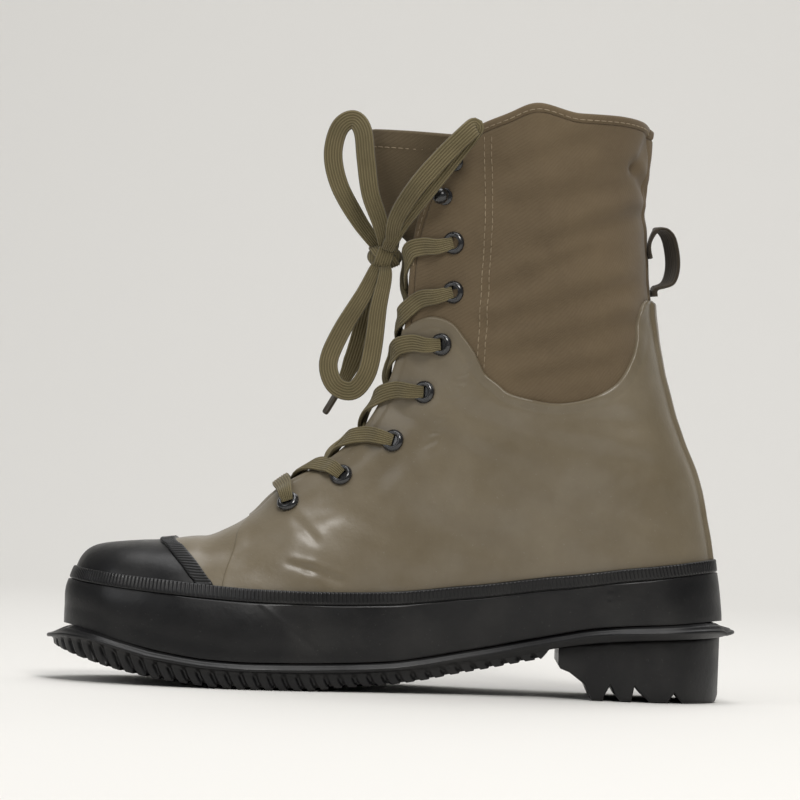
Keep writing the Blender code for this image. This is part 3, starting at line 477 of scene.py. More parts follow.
def sole_rim(across, up):
    """Flange, lip, side wall and the rim of the tread, in one strip round the sole."""
    at = evenly(across)
    edge, inward = outline(at)
    x = edge[:, 0]
    flange = flange_at(at)
    top = sole_level(x, "top")
    lip = sole_level(x, "lip")
    edge_top = np.maximum(top - FLANGE_DROOP * flange, lip + FLANGE_EDGE)
    tread, fade = tread_level(x, lip)
    row = np.rint(up * RIM_ROWS).astype(int)
    slope = (top - edge_top) / np.maximum(flange, 1e-6)
    # Inset from the edge and height: over the flange, its lip, the side wall and the tread's rim
    profile = [
        (flange + 0.0060, top),
        (flange + 0.0030, top),
        (flange + 0.0005, top),
        (flange * 0.80, top - slope * flange * 0.20),
        (flange * 0.52, top - slope * flange * 0.48),
        (flange * 0.46, top - slope * flange * 0.54 + 0.00005),
        (flange * 0.42, top - slope * flange * 0.56 + 0.00045),
        (flange * 0.34, top - slope * flange * 0.64 + 0.00050),
        (flange * 0.28, top - slope * flange * 0.72 + 0.00005),
        (flange * 0.12, edge_top + 0.00005),
        (0.00035, edge_top - 0.00010),
        (0.00005, edge_top - 0.00045),
        (0.00005, edge_top - FLANGE_EDGE + 0.0004),
        (0.00050, edge_top - FLANGE_EDGE),
        (LIP_INSET * 0.6, (edge_top - FLANGE_EDGE + lip) / 2),
        (LIP_INSET, lip),
        (LIP_INSET + 0.0003, lip - 0.0003),
    ]
    wall = RIM_ROWS - len(profile) - 6
    for k in range(wall):
        share = (k + 0.5) / wall
        level = lip - 0.0006 + (tread - lip + 0.0010) * share
        profile.append((TREAD_INSET + 0.0004 * share, level))
    profile += [
        (TREAD_INSET + 0.0007, tread + 0.0001),
        (TREAD_INSET + 0.0012, tread),
        (TREAD_INSET + 0.0030, tread),
        (TREAD_INSET + 0.0052, tread),
        (TREAD_INSET + 0.0060, tread + 0.0008),
        (TREAD_INSET + 0.0062, tread + 0.0026 * fade),
        (TREAD_INSET + 0.0062, tread + 0.0028 * fade),
    ]
    column = np.arange(len(row))
    inset = np.stack([inward_by + 0 * x for inward_by, level in profile])[row, column]
    z = np.stack([level for inward_by, level in profile])[row, column]
    side = np.where(np.mod(at, AROUND) < STATIONS, 1.0, -1.0)
    lean = TOOTH_LEAN * (lip - z) * side
    bow = 0.0006 * np.sin(np.clip((lip - z) / np.maximum(lip - tread, 1e-5), 0.0, 1.0) * math.pi) * side
    phase = (across * PERIMETER - lean + bow) / (PERIMETER / TEETH_ROUND)
    cutting = groove(phase) * fade
    lower = np.clip((lip - 0.0005 - z) / 0.0015, 0.0, 1.0)
    inset = inset + TOOTH_SIDE_GROOVE * cutting * lower * (row < RIM_ROWS - 2)
    under = row >= RIM_ROWS - 7
    depth = np.minimum(TOOTH_NOTCH, MOST_NOTCH * (lip - tread))
    z = z + np.where(under, depth * cutting, 0.0) * (row < RIM_ROWS - 2)
    xy = edge + inward * inset[:, None]
    points = np.stack([xy[:, 0], xy[:, 1], np.maximum(z, 0.0)], axis=-1)
    return points, np.stack([across * PERIMETER, z], axis=-1)


def side_lines(inset, steps, past_flange=0.0):
    """Inner and outer line along the sole, so far in from its edge or from its flange."""
    lines = []
    for half in (0, 1):
        places = np.linspace(half * STATIONS, (half + 1) * STATIONS, steps)
        edge, inward = outline(places)
        line = edge + inward * (inset + past_flange * flange_at(places))[:, None]
        lines.append(line[np.argsort(line[:, 0])])
    return lines


def between(lines, x):
    """Where the inner and the outer line lie at each x."""
    return [np.interp(x, line[:, 0], line[:, 1]) for line in lines]


def reach_of(lines):
    """Front and back between which both lines run."""
    return max(line[0, 0] for line in lines) + 0.0004, min(line[-1, 0] for line in lines) - 0.0004


RIM_REACH = 0.0058
TREAD_COLUMNS = 560
TREAD_ROWS = 24
UNDER_LINES = side_lines(TREAD_INSET + RIM_REACH, 900)


def tread_field(across, up):
    """Underside between the rims: bars across the tread, plain under the heel."""
    first, last = reach_of(UNDER_LINES)
    x = first + (last - first) * across
    low, high = between(UNDER_LINES, x)
    y = low + (high - low) * up
    lip = sole_level(x, "lip")
    tread, fade = tread_level(x, lip)
    bars = groove(x / TOOTH_PITCH)
    z = tread + (0.0004 + np.minimum(TOOTH_NOTCH, MOST_NOTCH * (lip - tread)) * bars) * fade
    return np.stack([x, y, z], axis=-1), np.stack([x, y], axis=-1)


outsole = moved_grid(RIM_COLUMNS, RIM_ROWS, sole_rim, weld=True)
joined(outsole, moved_grid(TREAD_COLUMNS, TREAD_ROWS, tread_field, reverse=True))
finished("outsole_rubber", outsole, BLACK_RUBBER, ["outsole"])

# Heel
# A solid block of the same black rubber under the back of the sole. Its walls follow the outline
# and its underside is cut into cross lugs, with slightly broken edges.
HEEL_LENGTH = 0.073
HEEL_INSET = 0.0066
LUG_DEPTH = 0.0071
Lug = namedtuple("Lug", "place height")
HEEL_LUGS = [
    Lug(0.000, 2.15),
    Lug(0.014, 1.92),
    Lug(0.071, 1.70),
    Lug(0.164, 1.00),
    Lug(0.210, 0.00),
    Lug(0.282, 0.00),
    Lug(0.289, 0.35),
    Lug(0.324, 1.00),
    Lug(0.354, 0.35),
    Lug(0.386, 0.00),
    Lug(0.455, 0.00),
    Lug(0.470, 0.95),
    Lug(0.492, 0.68),
    Lug(0.567, 0.00),
    Lug(0.676, 0.00),
    Lug(0.717, 0.60),
    Lug(0.765, 0.00),
    Lug(0.850, 0.00),
    Lug(0.920, 0.00),
    Lug(0.965, 0.00),
    Lug(0.985, 0.10),
    Lug(1.000, 0.50),
]
HEEL_LINES = side_lines(HEEL_INSET, 1200)
HEEL_BACK = LENGTH / 2 - HEEL_INSET - 0.0002
HEEL_COLUMNS = 230
HEEL_RING = 44
HEEL_CROWDING = 1.7
HEEL_CORNER = 0.10


def squared(turn):
    """Share out to a side round a section with nearly square corners."""
    return np.sign(turn) * np.abs(turn) ** HEEL_CORNER


def heel_block(across, up):
    """Rings across the heel, from its breast to its back, closer together at the back."""
    column = np.rint(across * HEEL_COLUMNS)
    closed = (column == 0) | (column == HEEL_COLUMNS)
    share = 1 - (1 - np.clip((column - 1) / (HEEL_COLUMNS - 2), 0.0, 1.0)) ** HEEL_CROWDING
    x = HEEL_BACK - HEEL_LENGTH * (1 - share)
    low = np.interp(share, [lug.place for lug in HEEL_LUGS], [lug.height for lug in HEEL_LUGS]) * LUG_DEPTH
    high = sole_level(x, "lip") - 0.0003
    inner, outer = between(HEEL_LINES, x)
    half = np.maximum((outer - inner) / 2, 0.0008)
    middle = (outer + inner) / 2
    turn = up * 2 * math.pi
    tall = np.maximum((high - low) / 2, 0.0001)
    y = middle + np.where(closed, 0.0, half * squared(np.cos(turn)))
    z = (high + low) / 2 + np.where(closed, 0.0, tall * squared(np.sin(turn)))
    return np.stack([x, y, z], axis=-1), np.stack([x, y], axis=-1)


heel = moved_grid(HEEL_COLUMNS, HEEL_RING, heel_block, weld=True)
bmesh.ops.recalc_face_normals(heel, faces=heel.faces)
finished("heel_block", heel, BLACK_RUBBER, ["heel"], sharp=38)

# Insole
# A thin sock faced with cloth that lies on the sole inside the boot, with a soft hollow at the
# heel and a worn edge.


def weave_group():
    """Twill over the boot's own axes: along its length and width, and up it."""
    group, enter, leave = new_group("twill_weave", ("Place", "Pitch"), ("Height", "Thread"))
    wander = noise(group, enter["Place"], 90.0, 2.0)
    axes = put(group, "ShaderNodeSeparateXYZ", {"Vector": enter["Place"]}).outputs
    shift = maths(group, "MULTIPLY", maths(group, "SUBTRACT", wander, 0.5), 0.0011)
    along = maths(group, "ADD", maths(group, "ADD", axes["X"], axes["Y"]), shift)
    upward = maths(group, "ADD", axes["Z"], shift)
    turns = maths(group, "DIVIDE", 2 * math.pi, enter["Pitch"])
    warp = maths(group, "SINE", maths(group, "MULTIPLY", along, turns))
    weft = maths(group, "SINE", maths(group, "MULTIPLY", upward, turns))
    slant = maths(group, "MULTIPLY", maths(group, "SUBTRACT", along, upward), turns)
    twill = maths(group, "SINE", maths(group, "MULTIPLY", slant, 0.5))
    cross = maths(group, "MULTIPLY", warp, weft)
    slanted, crossed = maths(group, "MULTIPLY", twill, 0.65), maths(group, "MULTIPLY", cross, 0.35)
    mixed = maths(group, "ADD", slanted, crossed)
    height = maths(group, "ADD", maths(group, "MULTIPLY", mixed, 0.5), 0.5)
    slub = ramp(group, noise(group, enter["Place"], 420.0, 3.0), [(0.25, 0.3), (0.75, 1.0)])
    group.links.new(height, leave["Height"])
    group.links.new(maths(group, "MULTIPLY", height, slub), leave["Thread"])
    return group


WEAVE = weave_group()


def woven_look(name, colour, light_thread, dark_thread, pitch, relief, roughness):
    """Twill: threads both ways and the diagonal they make, with slubs and faded areas."""
    look, tree, shader, place = new_look(name)
    weave = put(tree, "ShaderNodeGroup", {"Place": place, "Pitch": pitch}, node_tree=WEAVE).outputs
    broad = noise(tree, place, 22.0, 5.0, 0.62)
    nap = noise(tree, place, 1500.0, 2.0)
    tint = blended(tree, ramp(tree, broad, [(0.30, 0.0), (0.72, 1.0)]), dark_thread, colour)
    tint = blended(tree, maths(tree, "MULTIPLY", weave["Thread"], 0.38), tint, light_thread)
    tint = blended(tree, maths(tree, "MULTIPLY", nap, 0.35), tint, light_thread)
    threads = bumped(tree, weave["Height"], 0.6, relief)
    feeds = {
        "Base Color": tint,
        "Roughness": roughness,
        "Sheen Weight": 0.12,
        "Sheen Roughness": 0.5,
        "Specular IOR Level": 0.25,
        "Normal": bumped(tree, broad, 0.5, 0.0012, threads),
    }
    feed(tree, shader, feeds)
    return look


LINING_CLOTH = woven_look(
    "lining_cloth",
    (0.110, 0.080, 0.052),
    (0.150, 0.115, 0.078),
    (0.080, 0.056, 0.036),
    pitch=0.0011,
    relief=0.00010,
    roughness=0.92,
)
GAP = 0.0003
WALL = 0.0022
RUBBER = 0.0012
FOXING = 0.0018
FOXING_PLAY = 0.0005
INSOLE = 0.003
INSOLE_ROUND = 0.0012
DISH = 0.0008
DISH_AT = 0.100
UPPER_INSET = FOXING + FOXING_PLAY + RUBBER + GAP
COAT_LOW = GAP
COAT_HIGH = GAP + RUBBER
FOXING_LOW = COAT_HIGH + FOXING_PLAY
INSOLE_INSET = UPPER_INSET + WALL + 2 * GAP
INSOLE_LINES = side_lines(INSOLE_INSET, 900, 1.0)


def insole_top(across, up):
    """Upper face of the insole with its rounded edge and dished heel."""
    first, last = reach_of(INSOLE_LINES)
    x = first + (last - first) * (1 - np.cos(across * math.pi)) / 2
    low, high = between(INSOLE_LINES, x)
    y = low + (high - low) * (1 - np.cos(up * math.pi)) / 2
    nearest = np.minimum(np.minimum(y - low, high - y), np.minimum(x - first, last - x))
    rim = np.clip(nearest / INSOLE_ROUND, 0.0, 1.0)
    dish = DISH * np.exp(-(((x - DISH_AT) / 0.022) ** 2 + (y / 0.020) ** 2))
    z = sole_level(x, "top") + GAP + INSOLE * (1 - (1 - rim) ** 2) - dish
    return np.stack([x, y, z], axis=-1), np.stack([x, y], axis=-1)


finished("insole_sock", moved_grid(120, 30, insole_top), LINING_CLOTH, ["insole"])

# Canvas upper and its lining
# Brown-olive twill sewn to a woven lining, and folded over at the collar and throat into a stitched
# hem. The rubber coats leave it bare round the ankle, where it falls into broad soft folds.
TOE_BOX = 0.0645
COLLAR_HEIGHT = 0.266
COLLAR_WIDTH = 0.075
WAIST_DEPTH = 0.0115
THROAT_STATION = 5
Rib = namedtuple("Rib", "place toe rise half dome power swell waist")
RIBS = [
    Rib(0.119, 0.938, 0.0000, 0.000, 1.00, 4.0, 0.000, 0.00),
    Rib(0.129, 0.949, 0.0000, 0.000, 1.00, 3.9, 0.000, 0.00),
    Rib(0.145, 0.958, 0.0000, 0.000, 1.00, 3.6, 0.000, 0.00),
    Rib(0.168, 0.969, 0.0000, 0.000, 1.00, 3.0, 0.000, 0.00),
    Rib(0.2226, 1.000, 0.0025, 0.000, 1.00, 2.6, 0.000, 0.00),
    Rib(0.2865, 1.000, 0.0500, 0.000, 1.00, 2.3, 0.000, 0.00),
    Rib(0.332, 1.000, 0.1196, 0.087, 0.95, 2.2, 0.020, 0.00),
    Rib(0.403, 1.000, 0.1890, 0.113, 0.85, 2.1, 0.050, 0.00),
    Rib(0.468, 1.000, 0.3080, 0.133, 0.70, 2.0, 0.100, 0.00),
    Rib(0.500, 1.000, 0.4740, 0.160, 0.50, 2.0, 0.130, 0.00),
    Rib(0.510, 1.000, 0.6970, 0.200, 0.35, 2.0, 0.130, 0.10),
    Rib(0.574, 1.000, 0.9226, 0.320, 0.20, 2.0, 0.100, 0.20),
    Rib(0.6355, 1.000, 0.9720, 0.440, 0.10, 2.0, 0.070, 0.35),
    Rib(0.684, 1.000, 0.9990, 0.493, 0.00, 2.0, 0.050, 0.60),
    Rib(0.745, 1.000, 0.9790, 0.493, 0.00, 2.0, 0.040, 0.80),
    Rib(0.800, 1.000, 0.9777, 0.407, 0.00, 2.0, 0.030, 0.90),
    Rib(0.8387, 1.000, 0.9700, 0.233, 0.00, 2.0, 0.015, 1.00),
    Rib(0.8548, 1.000, 0.9550, 0.000, 0.00, 2.0, 0.000, 1.00),
]
Bow = namedtuple("Bow", "place depth")
BACK_BOW = [
    Bow(0.00, 0.00),
    Bow(0.12, -0.10),
    Bow(0.25, 0.00),
    Bow(0.42, 0.72),
    Bow(0.57, 1.00),
    Bow(0.75, 0.85),
    Bow(0.88, 0.55),
    Bow(1.00, 0.00),
]
Turn = namedtuple("Turn", "place toe rise")
CAP_EDGE = [
    Turn(0.150, 1.30, 0.0),
    Turn(0.1798, 1.00, 0.0),
    Turn(0.1974, 0.93, 0.0),
    Turn(0.2174, 0.836, 0.0),
    Turn(0.2332, 0.749, 0.0),
    Turn(0.2426, 0.688, 0.0),
    Turn(0.2500, 0.500, 0.0),
    Turn(0.2500, -0.10, 0.0),
]
CANVAS_EDGE = [
    Turn(0.440, 1.0, 0.530),
    Turn(0.4900, 1.0, 0.496),
    Turn(0.5036, 1.0, 0.489),
    Turn(0.5180, 1.0, 0.506),
    Turn(0.5439, 1.0, 0.519),
    Turn(0.5713, 1.0, 0.505),
    Turn(0.5900, 1.0, 0.473),
    Turn(0.6068, 1.0, 0.437),
    Turn(0.6200, 1.0, 0.398),
    Turn(0.6397, 1.0, 0.374),
    Turn(0.6577, 1.0, 0.354),
    Turn(0.6929, 1.0, 0.341),
    Turn(0.7277, 1.0, 0.336),
    Turn(0.7623, 1.0, 0.345),
    Turn(0.7890, 1.0, 0.362),
    Turn(0.8132, 1.0, 0.390),
    Turn(0.8297, 1.0, 0.437),
    Turn(0.8361, 1.0, 0.479),
    Turn(0.8406, 1.0, 0.545),
    Turn(0.8470, 1.0, 0.569),
    Turn(0.8610, 1.0, 0.575),
    Turn(0.9200, 1.0, 0.577),
]
QUARTER_EDGE = [
    Turn(0.2960, 1.00, 0.30),
    Turn(0.2900, 1.00, 0.075),
    Turn(0.2840, 1.00, 0.045),
    Turn(0.2742, 1.00, 0.024),
    Turn(0.2690, 0.949, 0.0),
    Turn(0.2585, 0.800, 0.0),
    Turn(0.2540, 0.688, 0.0),
    Turn(0.2530, 0.500, 0.0),
    Turn(0.2530, -0.10, 0.0),
]


def height_of(toe, rise):
    return toe * TOE_BOX + rise * (COLLAR_HEIGHT - TOE_BOX)


def rib_points(side, t, v):
    """Outer face of the upper, a share v of the way up rib t, on side -1 or 1."""
    rib = {name: steady(RIBS, t, name, key=None) for name in Rib._fields}
    edge, inward = outline(np.where(side < 0, t, AROUND - t))
    base = edge + inward * (flange_at(t) + UPPER_INSET)[..., None]
    base_z = sole_level(base[..., 0], "top") + GAP
    top_z = height_of(rib["toe"], rib["rise"])
    turn = v * math.pi / 2
    power = 2 / rib["power"]
    across = rib["dome"] * (1 - np.maximum(np.cos(turn), 0.0) ** power) + (1 - rib["dome"]) * v
    up = rib["dome"] * np.sin(turn) ** power + (1 - rib["dome"]) * v
    x = base[..., 0] + (x_of(rib["place"]) - base[..., 0]) * across
    y = base[..., 1] + (side * rib["half"] * COLLAR_WIDTH - base[..., 1]) * across
    y = y + side * rib["swell"] * COLLAR_WIDTH * np.sin(math.pi * v)
    x = x - rib["waist"] * WAIST_DEPTH * steady(BACK_BOW, v, "depth")
    return np.stack([x, y, base_z + (top_z - base_z) * up], axis=-1)


def rib_normals(side, t, v):
    t0, t1 = np.maximum(t - 0.02, 0.0), np.minimum(t + 0.02, STATIONS)
    v0, v1 = np.maximum(v - 0.004, 0.0), np.minimum(v + 0.004, 1.0)
    along = rib_points(side, t1, v) - rib_points(side, t0, v)
    upward = rib_points(side, t, v1) - rib_points(side, t, v0)
    normal = np.cross(along, upward) * -np.asarray(side)[..., None]
    return normal / np.maximum(long(normal), 1e-12)


RIPPLE = 0.00012
# Main creases, on side -1, 1 or both (0): from and to in side view, metres, how wide, how deep
Crease = namedtuple("Crease", "side x0 z0 x1 z1 width depth")
CREASES = [
    Crease(-1, -0.0568, 0.0763, -0.0301, 0.0838, 0.0058, 0.0006),
    Crease(-1, -0.0301, 0.0838, -0.0090, 0.0954, 0.0060, 0.0008),
    Crease(-1, -0.0090, 0.0954, 0.0067, 0.1084, 0.0056, 0.0006),
    Crease(-1, -0.0457, 0.0557, -0.0376, 0.0538, 0.0019, 0.0004),
    Crease(-1, -0.0376, 0.0538, -0.0250, 0.0495, 0.0021, 0.0004),
    Crease(-1, -0.0430, 0.0740, -0.0365, 0.0674, 0.0024, 0.0004),
    Crease(-1, -0.0660, 0.0560, -0.0540, 0.0640, 0.0030, 0.0003),
    Crease(-1, 0.0040, 0.1220, 0.0330, 0.1080, 0.0062, 0.0009),
    Crease(-1, 0.0300, 0.1240, 0.0620, 0.1180, 0.0070, 0.0009),
    Crease(-1, 0.0620, 0.1270, 0.1000, 0.1240, 0.0060, 0.0010),
    Crease(-1, 0.0760, 0.1130, 0.1120, 0.1060, 0.0055, 0.0007),
    Crease(-1, 0.0020, 0.0760, 0.0420, 0.0680, 0.0090, 0.0006),
    Crease(1, -0.0560, 0.0740, -0.0280, 0.0800, 0.0050, 0.0012),
    Crease(1, -0.0300, 0.0860, -0.0050, 0.0900, 0.0055, 0.0011),
    Crease(1, -0.0480, 0.0600, -0.0250, 0.0520, 0.0028, 0.0009),
    Crease(1, 0.0080, 0.1180, 0.0360, 0.1060, 0.0060, 0.0010),
    Crease(1, 0.0560, 0.1250, 0.1010, 0.1190, 0.0065, 0.0011),
    Crease(0, 0.0482, 0.1532, 0.1015, 0.1687, 0.0046, 0.0015),
    Crease(0, 0.0409, 0.1664, 0.0982, 0.1848, 0.0046, 0.0018),
    Crease(0, 0.0430, 0.1827, 0.0788, 0.1989, 0.0044, 0.0017),
    Crease(0, 0.0625, 0.2023, 0.1024, 0.2173, 0.0046, 0.0018),
    Crease(0, 0.0510, 0.2208, 0.0965, 0.2306, 0.0050, 0.0015),
    Crease(0, 0.0540, 0.1413, 0.0888, 0.1493, 0.0038, 0.0011),
    Crease(0, 0.0440, 0.2360, 0.0760, 0.2480, 0.0046, 0.0010),
    Crease(0, 0.0130, 0.1820, 0.0310, 0.1960, 0.0055, 0.0007),
    Crease(0, 0.0150, 0.2120, 0.0330, 0.2250, 0.0055, 0.0007),
    Crease(-1, 0.1085, 0.2535, 0.1021, 0.2389, 0.0022, 0.0016),
    Crease(-1, 0.1021, 0.2389, 0.1085, 0.2270, 0.0022, 0.0016),
    Crease(-1, 0.0860, 0.2360, 0.1010, 0.2390, 0.0040, 0.0010),
    Crease(1, 0.0900, 0.2440, 0.1040, 0.2260, 0.0045, 0.0012),
    Crease(-1, 0.0312, 0.1480, 0.0285, 0.1462, 0.0007, 0.0003),
    Crease(-1, 0.0300, 0.1440, 0.0268, 0.1428, 0.0008, 0.0003),
    Crease(-1, 0.0290, 0.1400, 0.0252, 0.1396, 0.0007, 0.0003),
    Crease(-1, 0.0262, 0.1370, 0.0240, 0.1350, 0.0008, 0.0003),
    Crease(-1, 0.0255, 0.1330, 0.0222, 0.1318, 0.0007, 0.0003),
    Crease(-1, 0.0232, 0.1296, 0.0204, 0.1284, 0.0008, 0.0003),
    Crease(-1, 0.0222, 0.1258, 0.0190, 0.1252, 0.0007, 0.0003),
    Crease(-1, 0.0200, 0.1216, 0.0172, 0.1200, 0.0008, 0.0003),
    Crease(-1, 0.0182, 0.1172, 0.0150, 0.1166, 0.0008, 0.0003),
    Crease(-1, 0.0160, 0.1126, 0.0130, 0.1112, 0.0009, 0.0003),
]


def creased(side, points):
    """How far the face is pushed out, in a trough with a low ridge beside it, at each point."""
    x, z = points[..., 0], points[..., 2]
    total = np.zeros_like(x)
    for crease in CREASES:
        run = np.array([crease.x1 - crease.x0, crease.z1 - crease.z0])
        reach = float(np.hypot(*run))
        along = ((x - crease.x0) * run[0] + (z - crease.z0) * run[1]) / reach
        off = ((z - crease.z0) * run[0] - (x - crease.x0) * run[1]) / reach
        past = np.maximum(np.maximum(-along, along - reach), 0.0)
        fade = np.exp(-((past / (1.6 * crease.width)) ** 2))
        shape = 0.45 * np.exp(-(((off - 1.5 * crease.width) / crease.width) ** 2))
        shape -= np.exp(-((off / crease.width) ** 2))
        here = 1.0 if crease.side == 0 else (side == crease.side)
        total = total + here * crease.depth * fade * shape
    return total + RIPPLE * np.sin(x * 310 + z * 190) * np.sin(z * 260 - x * 120)


def upper_points(side, t, v, offset, creases=1.0):
    """Points so far outside the upper's outer face; the two sides meet on its seams."""
    side = np.broadcast_to(np.asarray(side, float), np.shape(t))
    points = rib_points(side, t, v)
    normals = rib_normals(side, t, v)
    seam = (t <= 0) | (t >= STATIONS) | ((v >= 1) & (t <= THROAT_STATION))
    mirrored = rib_normals(-side, t, v)
    both = (normals + mirrored) * np.array([1.0, 0.0, 1.0])
    both = both / np.maximum(long(both), 1e-12)
    push = creased(side, points)
    far_push = creased(-side, points)
    middle = (points[..., 1] + rib_points(-side, t, v)[..., 1]) / 2
    normals = np.where(seam[..., None], both, normals)
    points[..., 1] = np.where(seam, middle, points[..., 1])
    push = np.where(seam, (push + far_push) / 2, push)
    edge_fade = np.clip(v / 0.08, 0.0, 1.0)
    points = points + normals * (offset + push * creases * edge_fade)[..., None]
    points[..., 2] = np.where(v <= 0, sole_level(points[..., 0], "top") + GAP, points[..., 2])
    return points


def through(points, steps):
    """Smooth open curve through points, with so many steps between each pair."""
    rows = np.array([list(p) for p in points])
    ends = np.vstack([2 * rows[0] - rows[1], rows, 2 * rows[-1] - rows[-2]])
    made = []
    for a, b, c, d in zip(ends, ends[1:], ends[2:], ends[3:]):
        for k in range(steps):
            s = k / steps
            bend = (2 * a - 5 * b + 4 * c - d) * s**2 + (3 * b - a - 3 * c + d) * s**3
            made.append(0.5 * (2 * b + (c - a) * s + bend))
    return np.array(made + [rows[-1]])


def line_of(turns):
    """Edge in side view as many closely spaced points of x and z."""
    return through([(x_of(turn.place), height_of(turn.toe, turn.rise)) for turn in turns], 12)


def halved(low, high, past):
    """Where a test turns true between low and high, for whole arrays at once."""
    for _ in range(26):
        middle = (low + high) / 2
        hit = past(middle)
        high = np.where(hit, middle, high)
        low = np.where(hit, low, middle)
    return (low + high) / 2


CANVAS_LINE = line_of(CANVAS_EDGE)
CANVAS_LINE = CANVAS_LINE[np.argsort(CANVAS_LINE[:, 0])]
QUARTER_LINE = line_of(QUARTER_EDGE)[::-1]
CAP_LINE = line_of(CAP_EDGE)[::-1]
DENSE_T = np.linspace(0, STATIONS, 6801)
# Scales of the maps: metres a rib, and metres from foot to top where a rib's length isn't used
RIB_MAP = 0.02
UP_MAP = 0.1


def canvas_share(side, t):
    """Share up each rib at which the rubber ends and bare canvas begins."""
    def above(v):
        points = rib_points(side, t, v)
        edge = np.interp(points[..., 0], CANVAS_LINE[:, 0], CANVAS_LINE[:, 1])
        return (points[..., 2] > edge) & (points[..., 0] > CANVAS_LINE[0, 0])

    found = halved(np.full_like(t, 0.2), np.ones_like(t), above)
    return np.where(above(np.ones_like(t)), found, 1.0)


CANVAS_SHARES = {side: canvas_share(np.full_like(DENSE_T, side), DENSE_T) for side in (-1, 1)}
NEAR_TOP = 0.97
RIB_LENGTHS = {}
for side in (-1, 1):
    top_points = rib_points(np.full_like(DENSE_T, side), DENSE_T, np.ones_like(DENSE_T))
    near_points = rib_points(np.full_like(DENSE_T, side), DENSE_T, np.full_like(DENSE_T, NEAR_TOP))
    RIB_LENGTHS[side] = long(top_points - near_points)[:, 0] / (1 - NEAR_TOP)


# Ribs run nearly along the canvas edge in places, so columns are spread by their real distance
edge_points = rib_points(np.full_like(DENSE_T, -1.0), DENSE_T, CANVAS_SHARES[-1])
foot_points = rib_points(np.full_like(DENSE_T, -1.0), DENSE_T, np.zeros_like(DENSE_T))
SPREAD_RUN = run_along(edge_points) + 0.6 * run_along(foot_points)


def spread_ribs(first, last, share):
    """Ribs between two others that lie evenly along the canvas edge and the foot."""
    start, stop = np.interp(first, DENSE_T, SPREAD_RUN), np.interp(last, DENSE_T, SPREAD_RUN)
    return np.interp(start + (stop - start) * share, SPREAD_RUN, DENSE_T)


def by_side(table, side, t):
    return np.where(side < 0, np.interp(t, DENSE_T, table[-1]), np.interp(t, DENSE_T, table[1]))


HEM_STITCH = 0.0029
# Rows over the collar's edge, from the outside in: distance below the edge and offset
EDGE_ROLL = [
    (0.0060, 0.0),
    (0.0052, 0.0),
    (0.0047, -0.00025),
    (0.0044, -0.00065),
    (0.0041, -0.00020),
    (0.0034, 0.00010),
    (0.0022, 0.00022),
    (0.0011, 0.00018),
    (0.0005, -0.00010),
    (0.00015, -0.00050),
    (0.0, -0.0011),
    (0.00015, -0.0017),
    (0.0006, -0.0022),
    (0.0020, -0.0026),
    (0.0060, -0.0026),
    (0.0105, -0.0026),
    (0.0120, -0.0024),
    (0.0122, -0.0020),
]
CANVAS_START = 8.9
BINDING = 0.24
BINDING_FADE = 0.05
BINDING_RISE = 0.0005
BINDING_GROOVE = 0.0006
UNDER_COAT = 0.0045
JUST_BELOW = 0.99999
CANVAS_ROWS = 64
CANVAS_COLUMNS = 520


def canvas_place(across, up):
    side = np.where(across < 0.5, -1.0, 1.0)
    t = spread_ribs(CANVAS_START, STATIONS, 1 - np.abs(2 * across - 1))
    rib_length = by_side(RIB_LENGTHS, side, t)
    low = by_side(CANVAS_SHARES, side, t) - UNDER_COAT / rib_length
    row = np.rint(up * (CANVAS_ROWS + len(EDGE_ROLL) - 1)).astype(int)
    roll = row - CANVAS_ROWS
    turn = np.array(EDGE_ROLL)[np.clip(roll, 0, len(EDGE_ROLL) - 1)]
    first = 1 - EDGE_ROLL[0][0] / rib_length
    low = np.minimum(low, first - 0.002)
    v = np.where(roll < 0, low + (first - low) * row / CANVAS_ROWS, 1 - turn[:, 0] / rib_length)
    offset = np.where(roll < 0, 0.0, turn[:, 1])
    from_back = STATIONS - t
    binding = BINDING_RISE * np.clip((BINDING - from_back) / BINDING_FADE, 0.0, 1.0)
    binding = binding - BINDING_GROOVE * np.exp(-(((from_back - BINDING) / 0.035) ** 2))
    offset = offset + binding * (row < CANVAS_ROWS + 10)
    points = upper_points(side, t, np.minimum(v, JUST_BELOW), offset)
    return points, np.stack([t * RIB_MAP * side, v * rib_length], axis=-1)


CANVAS_CLOTH = woven_look(
    "canvas_twill",
    (0.136, 0.098, 0.055),
    (0.185, 0.140, 0.086),
    (0.092, 0.064, 0.036),
    pitch=0.00088,
    relief=0.00011,
    roughness=0.90,
)
canvas = moved_grid(CANVAS_COLUMNS, CANVAS_ROWS + len(EDGE_ROLL) - 1, canvas_place, weld=True)
finished("upper_canvas", canvas, CANVAS_CLOTH, ["upper"])


def lining_place(across, up):
    at = AROUND * across
    side = np.where(at < STATIONS, -1.0, 1.0)
    t = rib_of(at)
    share = 1 - (1 - up) ** 1.6
    below = np.where(t > THROAT_STATION, 0.004 / by_side(RIB_LENGTHS, side, t), 0.0)
    v = share * (1 - below)
    return upper_points(side, t, v, -WALL + 0 * t, 0.6), np.stack([t * RIB_MAP * side, v * UP_MAP], axis=-1)


lining = moved_grid(340, 50, lining_place, weld=True)
finished("upper_lining", lining, LINING_CLOTH, ["upper"])

# Stitching
# Thick light tan thread: a row round the collar's hem and down the flaps' front edges, and a double
# row where the back panel laps the front one.
STITCH_PITCH = 0.0033
STITCH_RADIUS = 0.00027


